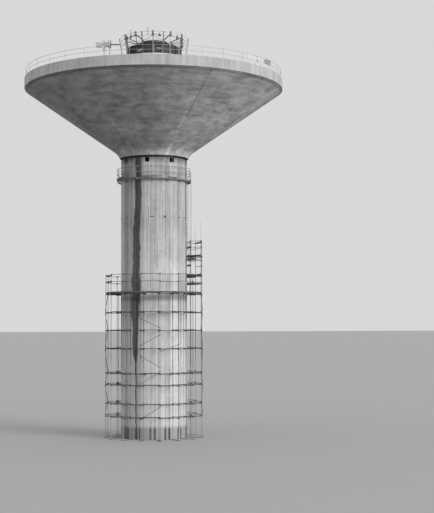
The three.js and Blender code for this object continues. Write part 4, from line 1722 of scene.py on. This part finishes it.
@dataclass
class AccessTower:
    """The tower of two bays on the right, its landing and deck, and the ladder up to the collar."""

    first: int = 3
    last: int = 5
    landing: float = 15.8
    knee: float = 16.8
    store: float = 17.4
    deck_height: float = 17.7
    rails: Pair = (18.6, 19.2)
    top: float = 19.225
    pole_top: float = 21.0
    rows: tuple[float, ...] = (3.49, 3.83, 4.062, 4.294, 4.526)
    stagger: float = 0.02
    cross_turn: float = 0.7
    cross_inner: float = 3.4
    low_guard: float = 15.04
    inner_guards: Pair = (18.66, 16.86)
    ladder_x: float = 3.54
    ladder_y: float = 1.75
    ladder_top: float = 26.2
    ladder_foot: float = 17.7756
    ladder_half: float = 0.16
    rung_pitch: float = 0.3

    def build(self) -> None:
        """Makes all the pieces."""
        self.frame()
        self.poles()
        self.deck()
        self.ladder()

    def frame(self) -> None:
        """Makes the standards, ledgers, cross tubes and guard rails."""
        shape = Shape(91)
        for index in range(self.first, self.last + 1):
            self.cross_frame(shape, index)
        outer = (self.knee, self.deck_height, *self.rails)
        inner = (self.landing, self.knee, self.store, self.deck_height, *self.rails)
        lines = [(OUTER_RADIUS, height) for height in outer]
        lines += [(INNER_RADIUS, height) for height in inner]
        for bay in range(self.first, self.last):
            for radius, height in lines:
                ledger(shape, bay, radius, height + alternate(bay, self.stagger), 0.01)
        shape.build("access_lattice", Finish.TUBE, Slot.TUBE, ["access_tower"])

    def cross_frame(self, shape: Shape, index: int) -> None:
        """Adds the two standards at one angle, and the tubes between them.

        Args:
            shape: The mesh that they join.
            index: The number of the standards.
        """
        angle = standard_angle(index)
        for radius, low in ((OUTER_RADIUS, OUTER_TOP + GAP), (INNER_RADIUS, INNER_TOP + GAP)):
            shape.tube(*upright(radius, angle, low, self.top))
            sleeve(shape, radius, angle, low)
        lifts = (self.landing, self.store, self.deck_height)
        tubes = [(self.cross_inner, height - 0.075) for height in lifts]
        if index in (self.first, self.last):
            tubes += [(INNER_RADIUS - 0.1, height - 0.05) for height in self.rails]
        for inner, height in tubes:
            shape.tube(*radial(angle + self.cross_turn, inner, OUTER_RADIUS + 0.1, height))

    def poles(self) -> None:
        """Makes the two tall poles that stand on the corner standards."""
        shape = Shape(94)
        for index in (self.first, self.last):
            shape.tube(*upright(OUTER_RADIUS, standard_angle(index), self.top, self.pole_top))
        shape.build("access_poles", Finish.PALE_TUBE, Slot.TUBE)

    def deck(self) -> None:
        """Makes the boards of the landing, the store and the deck, with their toe boards."""
        shape = Shape(92)
        chance = random.Random(6)
        layers = [(self.deck_height, self.rows), (self.landing, self.rows)]
        layers += [(self.store, self.rows[:3]), (self.landing + 0.04, self.rows[:2])]
        for bay in range(self.first, self.last):
            for lift, rows in layers:
                for radius in rows:
                    height = lift + 0.045 + 0.02 * (bay % 2) + chance.uniform(0, 0.03)
                    flat_board(shape, bay, radius, height, chance.uniform(0.02, 0.08))
            for height in (self.deck_height, self.landing):
                edge_board(shape, bay, OUTER_RADIUS - 0.075, height + 0.15)
        for bay in range(self.first - 1, self.last + 1):
            edge_board(shape, bay, OUTER_RADIUS + 0.045, self.low_guard)
        for bay in range(self.first, self.last):
            edge_board(shape, bay, OUTER_RADIUS - 0.045, self.top - 0.09)
            for height in self.inner_guards:
                edge_board(shape, bay, INNER_RADIUS - 0.045, height)
        nodes = ["access_deck", "access_landing"]
        shape.build("access_boards", Finish.BOARD, Slot.BOARD, nodes, 0.004)

    def ladder(self) -> None:
        """Makes the pole ladder."""
        shape = Shape(93)
        middle = Vector((self.ladder_x, self.ladder_y, self.ladder_foot))
        half = Vector((self.ladder_half, 0.0, 0.0))
        for pole in centred(middle, half):
            shape.rod(pole, Vector((pole.x, pole.y, self.ladder_top)), 0.021)
        height = self.ladder_foot + self.rung_pitch
        while height < self.ladder_top:
            shape.rod(*centred(Vector((self.ladder_x, self.ladder_y, height)), half), 0.013, 8)
            height += self.rung_pitch
        shape.build("pole_ladder", Finish.GREY_TUBE, Slot.PALE_TUBE, ["shaft_ladder"])


# The crown


@dataclass
class Crown:
    """The jacking crown over the roof: its deck, shutter, frame, jacks and guard rail."""

    bays: int = 20
    deck_outer: float = 3.35
    deck_under: float = 36.85
    board_row: float = 2.885
    board_pitch: float = 0.185
    toe_height: float = 37.215
    shutter_radius: float = 2.71
    shutter_thickness: float = 0.11
    shutter_top: float = 38.35
    sheets: int = 30
    walings: tuple[float, ...] = (37.52, 37.86, 38.22)
    ring_inner: float = 1.3
    ring_outer: float = 1.9
    ring_top: float = 38.7
    ring_depth: float = 0.08
    flange: float = 0.012
    drum_top: float = 38.99
    leg_radius: float = 2.8
    arm_inner: Pair = (1.7, 38.95)
    arm_outer: Pair = (2.93, 39.37)
    tie_height: float = 38.45
    brace_heights: Pair = (38.42, 39.12)
    pale_legs: tuple[int, ...] = (0, 1, 4, 7)
    jack_bottom: float = 39.15
    jack_top: float = 39.62
    guard_foot: float = 3.04
    guard_head: float = 3.45
    guard_middle: float = 38.61
    guard_rails: Pair = (39.05, 39.4)
    guard_top: float = 39.425
    upstands: Table = ((-43.0, 39.75), (-10.6, 39.8), (51.5, 39.53))
    boxes: Table = (
        (-55.0, 39.02, 0.24, 0.26),
        (-46.0, 39.05, 0.16, 0.2),
        (9.5, 39.05, 0.3, 0.14),
        (45.5, 39.0, 0.2, 0.3),
        (60.0, 38.98, 0.16, 0.3),
        (118.0, 39.0, 0.24, 0.26),
        (170.0, 39.02, 0.3, 0.16),
        (236.0, 39.0, 0.2, 0.3),
    )
    patches: Table = (
        (-36.0, -29.0, 37.62, 37.84),
        (-29.5, -23.5, 37.70, 37.90),
        (5.0, 15.0, 37.86, 37.96),
        (110.0, 122.0, 37.65, 37.90),
        (196.0, 204.0, 37.70, 37.95),
        (250.0, 258.0, 37.62, 37.86),
    )

    def build(self) -> None:
        """Makes all the pieces."""
        self.deck()
        self.shutter()
        self.shutter_boards()
        self.frame()
        self.jacks()
        self.guard()
        self.gear()

    def angles(self, shift: float = 0.0) -> list[float]:
        """Returns the angles of the yokes, shifted by a share of their pitch."""
        return spread(CROWN_COUNT, CROWN_PHASE + shift * CROWN_PITCH)

    def deck(self) -> None:
        """Makes the radial joists, boards and kerb of the deck round the core."""
        shape = Shape(101)
        chance = random.Random(4)
        eye = CORE_RADIUS + GAP
        for angle in self.angles(0.5) + self.angles():
            joist = radial(angle, eye, self.deck_outer - 0.02, CROWN_DECK_TOP - 0.056)
            shape.bar(*joist, 0.07, 0.03)
        pitch, short = 360 / self.bays, 0.25
        for first in spread(self.bays, CROWN_PHASE):
            for row in range(3):
                height = CROWN_DECK_TOP - 0.02 - chance.uniform(0, 0.002)
                radius = self.board_row + self.board_pitch * row
                ends = level(radius, first + short, first + pitch - short, height)
                shape.bar(*ends, 0.175, 0.036)
        kerb, top = eye + 0.1, CROWN_DECK_TOP - 0.072
        shape.turned([(eye, self.deck_under), (kerb, self.deck_under - 0.02), (kerb, top), (eye, top)], 80)
        shape.build("crown_boards", Finish.BOARD, Slot.BOARD, ["crown_deck"], 0.003)

    def shutter(self) -> None:
        """Makes the sheeted ring of formwork with its walings and studs."""
        shape = Shape(102)
        sheet = self.shutter_radius - 0.05
        radii = [self.shutter_radius - self.shutter_thickness, sheet]
        bottom = CORE_TOP + GAP
        pitch, short = 360 / self.sheets, 0.12
        for first in spread(self.sheets, CROWN_PHASE):
            angles = [first + short, first + pitch / 2, first + pitch - short]
            heights = [bottom, self.shutter_top - 0.03 * shape.random.random()]
            shape.cells(radii, angles, heights, tone=shape.random.random())
        shape.build("shutter_sheets", Finish.SHUTTER, Slot.DARK_STEEL, ["shutter_ring"], 0.004)
        rails = Shape(103)
        for low in self.walings:
            rails.turned(oblong(sheet, self.shutter_radius, low, low + 0.1), 60, CROWN_PHASE)
        rails.build("shutter_walings", Finish.DARK_STEEL, Slot.DARK_STEEL, bevel=0.004)
        studs = Shape(104)
        for angle in self.angles(0.5):
            stud = upright(self.shutter_radius + 0.02, angle, bottom, self.shutter_top - 0.01)
            studs.bar(*stud, 0.06, 0.035, outward(angle))
        studs.build("shutter_studs", Finish.DARK_STEEL, Slot.DARK_STEEL, bevel=0.003)

    def shutter_boards(self) -> None:
        """Makes the pale patches on the shutter and the toe boards of the deck before it."""
        patches, toes = Shape(114), Shape(108)
        for first, last, low, high in self.patches:
            ends = level(self.shutter_radius + 0.015, first, last, (low + high) / 2)
            patches.bar(*ends, 0.02, high - low, tone=0.9)
        patches.build("shutter_panels", Finish.MIXED_BOARD, Slot.BOARD, bevel=0.003)
        pitch, short = 360 / self.bays, 0.3
        for angle in spread(self.bays, CROWN_PHASE):
            first, last = angle + short, angle + pitch - short
            toes.bar(*level(self.deck_outer - 0.045, first, last, self.toe_height), 0.03, 0.185)
        toes.build("crown_toe_boards", Finish.PAINTED_BOARD, Slot.BOARD, bevel=0.003)

    def frame(self) -> None:
        """Makes the ring, legs and raking arms that carry the jacks."""
        shape, legs = Shape(105), Shape(109)
        bottom, top = self.ring_top - self.ring_depth, self.ring_top
        low, high = bottom + self.flange, top - self.flange
        for section in (
            oblong(self.ring_inner, self.ring_outer, bottom, low),
            oblong(self.ring_inner, self.ring_outer, high, top),
            oblong(self.ring_inner + 0.05, self.ring_inner + 0.07, low, high),
            oblong(self.ring_outer - 0.07, self.ring_outer - 0.05, low, high),
        ):
            shape.turned(section, CROWN_COUNT, CROWN_PHASE)
        for index, angle in enumerate(self.angles()):
            self.yoke(shape, legs if index in self.pale_legs else shape, angle)
            first, last = self.brace_heights if index % 2 else reversed(self.brace_heights)
            start, end = at(self.leg_radius, angle, first), at(self.leg_radius, angle + CROWN_PITCH, last)
            shape.rod(start, end, 0.016, 8)
        shape.turned(oblong(self.ring_inner + 0.01, self.ring_inner + 0.06, top, self.drum_top), 40)
        shape.build("crown_yokes", Finish.YOKE_STEEL, Slot.DARK_STEEL, ["crown_frame"], 0.003)
        legs.build("crown_legs", Finish.RAIL_TUBE, Slot.PALE_TUBE)

    def yoke(self, shape: Shape, legs: Shape, angle: float) -> None:
        """Adds one yoke: its post on the ring, its raking arm, its leg and its tie.

        Args:
            shape: The mesh of the frame.
            legs: The mesh that its leg joins.
            angle: Its angle round the axis.
        """
        (knee_radius, knee_height), (end_radius, end_height) = self.arm_inner, self.arm_outer
        post = upright(knee_radius, angle, self.ring_top, knee_height)
        end = at(end_radius, angle, end_height)
        shape.rod(*post, 0.036)
        side = outward(angle + 90) * 0.03
        for offset in (side, -side):
            shape.bar(post[1] + offset, end + offset, 0.018, 0.075)
        share = (self.leg_radius - knee_radius) / (end_radius - knee_radius)
        base = CROWN_DECK_TOP + GAP
        legs.rod(*upright(self.leg_radius, angle, base, lerp(knee_height, end_height, share)), 0.034)
        legs.bar(*upright(self.leg_radius, angle, base, base + 0.015), 0.16, 0.16, outward(angle))
        start = at(self.ring_outer - 0.02, angle, self.ring_top - 0.03)
        shape.rod(start, at(self.leg_radius, angle, self.tie_height), 0.02, 8)

    def jacks(self) -> None:
        """Makes the jack on each arm, with its collar and head."""
        shape = Shape(106)
        collar, shoulder, neck = self.jack_bottom + 0.08, self.jack_top - 0.16, self.jack_top - 0.04
        for angle in self.angles():
            for low, high, size in (
                (self.jack_bottom, collar, 0.15),
                (collar, shoulder, 0.085),
                (shoulder, neck, 0.105),
                (neck, self.jack_top, 0.06),
            ):
                shape.turned(oblong(0.02, size, low, high), 20, 0.0, at(self.arm_outer[0], angle, 0.0))
        shape.build("crown_jacks", Finish.WORN_STEEL, Slot.DARK_STEEL, bevel=0.004)

    def guard_radius(self, height: float) -> float:
        """Returns the radius of the raking guard posts at a height."""
        share = (height - CROWN_DECK_TOP) / (self.guard_top - CROWN_DECK_TOP)
        return lerp(self.guard_foot, self.guard_head, share)

    def hoop_point(self, angle: float, height: float) -> Vector:
        """Finds a point of a hoop, on its straight run from post to post.

        Args:
            angle: The point's angle.
            height: The hoop's height.

        Returns:
            The point.
        """
        half = CROWN_PITCH / 2
        turn = (angle - CROWN_PHASE + half) % CROWN_PITCH - half
        radius = self.guard_radius(height) * math.cos(math.radians(half)) / math.cos(math.radians(turn))
        return at(radius, angle, height)

    def guard(self) -> None:
        """Makes the raking posts, their three hoops and the tubes that stand up past them."""
        posts, hoops = Shape(107), Shape(110)
        for index, angle in enumerate(self.angles(0.5)):
            base = at(self.guard_foot, angle, CROWN_DECK_TOP + 0.0005)
            posts.bar(base, base + UP * 0.01, 0.12, 0.12, outward(angle))
            posts.bar(base, at(self.guard_head, angle, self.guard_top), 0.09, 0.07, outward(angle))
            for height in (self.guard_middle, *self.guard_rails):
                radius = self.guard_radius(height)
                run = height - (0.0 if index % 2 else 0.012)
                start, end = level(radius, angle - 0.4, angle + CROWN_PITCH + 0.4, run)
                hoops.rod(start, end, 0.015, 8)
                place = at(radius, angle, height - 0.008)
                clamp(posts, place, UP, end - start, outward(angle) * 0.004)
        low, high = self.guard_rails
        for angle, top in self.upstands:
            start = self.hoop_point(angle, low)
            posts.tube(start, start.lerp(self.hoop_point(angle, high), (top - low) / (high - low)))
        posts.build("crown_posts", Finish.WORN_STEEL, Slot.TUBE, ["crown_guard"])
        hoops.build("crown_hoops", Finish.RAIL_TUBE, Slot.TUBE)

    def gear(self) -> None:
        """Makes the pumps and valve boxes on the lower hoop, with their pipes to the jacks."""
        shape = Shape(112)
        for angle, height, width, tall in self.boxes:
            hoop = self.hoop_point(angle, height)
            place = hoop - outward(angle) * 0.09
            shape.bar(*centred(place, outward(angle + 90) * width / 2), 0.13, tall)
            shape.turned(oblong(0.01, 0.05, 0.0, 0.16), 14, 0.0, place + UP * (tall / 2))
            hook = hoop + UP * (tall / 2 - 0.05)
            shape.bar(hook - outward(angle) * 0.06, hook + outward(angle) * 0.03, 0.05, 0.03)
            nearest = min(self.angles(), key=lambda turn: abs((turn - angle + 180) % 360 - 180))
            shape.rod(place, at(self.arm_outer[0], nearest, self.jack_bottom + 0.14), 0.014, 8)
        shape.build("crown_pumps", Finish.YOKE_STEEL, Slot.DARK_STEEL, bevel=0.004)


@dataclass
class Hoist:
    """The hoist beam on the left of the crown, with its winch frames and legs."""

    angle: float = CROWN_PHASE - 90
    height: float = 38.87
    start: float = 3.385
    end: float = 5.29
    frames: Pair = (4.3, 4.52)
    frame_half: float = 0.15
    frame_heights: Pair = (38.48, 39.27)
    legs: Pair = (4.41, 4.985)
    block_radius: float = 4.985
    block_heights: Pair = (38.35, 39.23)
    axles: tuple[float, ...] = (38.45, 38.75, 39.12)
    winch_height: float = 38.83
    motor: Pair = (4.36, 4.9)
    side_plates: Pair = (5.19, 5.78)
    drum_radius: float = 5.5

    def build(self) -> None:
        """Makes the beam, the winch frames, the pulley block, the winch and the legs."""
        shape = Shape(111)
        for offset in (-0.03, 0.03):
            start, end = radial(self.angle, self.start, self.end, self.height)
            shape.bar(start + self.aside(offset), end + self.aside(offset), 0.024, 0.09)
        for radius in self.frames:
            self.winch_frame(shape, radius)
        blocks = Shape(113)
        self.blocks(blocks)
        self.winch(blocks)
        blocks.build("hoist_winch", Finish.WINCH_STEEL, Slot.DARK_STEEL, bevel=0.003)
        for radius in self.legs:
            base = roof_under(radius) + ROOF_THICKNESS + GAP
            shape.tube(*upright(radius, self.angle, base, self.height))
            foot(shape, radius, self.angle, base)
        shape.build("hoist_gantry", Finish.WORN_STEEL, Slot.DARK_STEEL, ["hoist_beam"], 0.003)

    def aside(self, size: float) -> Vector:
        """Returns a level way across the beam."""
        return outward(self.angle + 90) * size

    def winch_frame(self, shape: Shape, radius: float) -> None:
        """Adds one upright frame across the beam.

        Args:
            shape: The mesh that it joins.
            radius: Its distance from the tower's axis.
        """
        bottom, top = self.frame_heights
        for offset in (0.03 - self.frame_half, self.frame_half - 0.03):
            low = at(radius, self.angle, bottom) + self.aside(offset)
            shape.bar(low, low + UP * (top - bottom), 0.055, 0.055, outward(self.angle))
        for height in (bottom + 0.03, top - 0.03, self.height - 0.08):
            middle = at(radius, self.angle, height)
            shape.bar(*centred(middle, self.aside(self.frame_half)), 0.05, 0.05)

    def blocks(self, shape: Shape) -> None:
        """Adds the pulley block: its two cheeks and three axles.

        Args:
            shape: The mesh that it joins.
        """
        bottom, top = self.block_heights
        for offset in (-0.17, 0.17):
            low = at(self.block_radius, self.angle, bottom) + self.aside(offset)
            shape.bar(low, low + UP * (top - bottom), 0.03, 0.17, outward(self.angle))
        for height in self.axles:
            middle = at(self.block_radius, self.angle, height)
            shape.rod(*centred(middle, self.aside(0.19)), 0.06, 16)

    def winch(self, shape: Shape) -> None:
        """Adds the winch at the beam's end: its motor, side plates, drum and flanges.

        Args:
            shape: The mesh that it joins.
        """
        shape.bar(*radial(self.angle, *self.motor, self.winch_height + 0.01), 0.34, 0.42)
        for offset in (-0.16, 0.16):
            start, end = radial(self.angle, *self.side_plates, self.winch_height)
            shape.bar(start + self.aside(offset), end + self.aside(offset), 0.03, 0.46)
        axis = at(self.drum_radius, self.angle, self.winch_height)
        shape.rod(*centred(axis, self.aside(0.145)), 0.19, 24)
        for offset in (-0.14, 0.12):
            shape.rod(axis + self.aside(offset), axis + self.aside(offset + 0.02), 0.226, 28)


# The studio


@dataclass
class Studio:
    """The camera at the photograph's place, the soft lights and the pale floor."""

    distance: float = 121.935
    eye: float = 10.799
    pan: float = 0.0509
    tilt: float = 0.0564
    roll: float = -0.0033
    sensor: float = 36.0
    sky: float = 0.69
    sun: float = 2.9
    sun_azimuth: float = 50.0
    sun_elevation: float = 14.0
    sun_width: float = 35.0
    ground: float = 0.41
    ground_size: float = 2500.0

    def build(self) -> None:
        """Makes the camera, the lights and the floor."""
        self.camera()
        self.world()
        self.key()
        self.floor()

    def camera(self) -> None:
        """Makes the camera with the photograph's viewpoint and field."""
        data = bpy.data.cameras.new("camera")
        data.sensor_fit = "AUTO"
        data.sensor_width = self.sensor
        data.lens = FOCAL_PIXELS / PHOTO_HEIGHT * self.sensor
        data.clip_start = 1.0
        data.clip_end = 6000.0
        camera = bpy.data.objects.new("camera", data)
        bpy.context.scene.collection.objects.link(camera)
        flat = Vector((math.sin(self.pan), math.cos(self.pan), 0.0))
        ahead = flat * math.cos(self.tilt) + UP * math.sin(self.tilt)
        right = Vector((math.cos(self.pan), -math.sin(self.pan), 0.0))
        above = right.cross(ahead)
        turned = right * math.cos(self.roll) + above * math.sin(self.roll)
        above = above * math.cos(self.roll) - right * math.sin(self.roll)
        place = Vector((0.0, -self.distance, self.eye))
        axes = Matrix((turned, above, -ahead)).transposed().to_4x4()
        camera.matrix_world = Matrix.Translation(place) @ axes
        bpy.context.scene.camera = camera

    def world(self) -> None:
        """Makes the even pale sky that surrounds the tower."""
        world = bpy.data.worlds.new("studio")
        world.use_nodes = True
        background = world.node_tree.nodes["Background"]
        background.inputs["Color"].default_value = (self.sky, self.sky, self.sky, 1.0)
        background.inputs["Strength"].default_value = 1.0
        bpy.context.scene.world = world
        bpy.context.scene.view_settings.view_transform = "Standard"

    def key(self) -> None:
        """Makes the broad soft light from the right."""
        data = bpy.data.lights.new("key", "SUN")
        data.energy = self.sun
        data.angle = math.radians(self.sun_width)
        light = bpy.data.objects.new("key", data)
        bpy.context.scene.collection.objects.link(light)
        rise = math.radians(self.sun_elevation)
        source = outward(self.sun_azimuth) * math.cos(rise) + UP * math.sin(rise)
        light.rotation_mode = "QUATERNION"
        light.rotation_quaternion = source.to_track_quat("Z", "Y")
        light.location = source * 80

    def floor(self) -> None:
        """Makes the plain pale floor."""
        mesh = bpy.data.meshes.new("floor")
        size = self.ground_size
        corners = [(-size, -size), (size, -size), (size, size), (-size, size)]
        mesh.from_pydata([Vector((x, y, -0.001)) for x, y in corners], [], [(0, 1, 2, 3)])
        nodes = Nodes("floor")
        colour = (self.ground, self.ground, self.ground, 1.0)
        nodes.link(colour, nodes.shader.inputs["Base Color"])
        nodes.rough(0.95)
        mesh.materials.append(nodes.material)
        plane = bpy.data.objects.new("floor", mesh)
        bpy.context.scene.collection.objects.link(plane)


def main() -> None:
    """Makes the studio and then every part of the tower."""
    logging.basicConfig(level=logging.INFO, format="%(name)s: %(message)s")
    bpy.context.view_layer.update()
    Studio().build()
    for part in (Shaft, Tank, RimGuard, Collar, Scaffold, AccessTower, Crown, Hoist):
        part().build()
        log.info("%s is done", part.__name__)


if __name__ == "__main__":
    main()
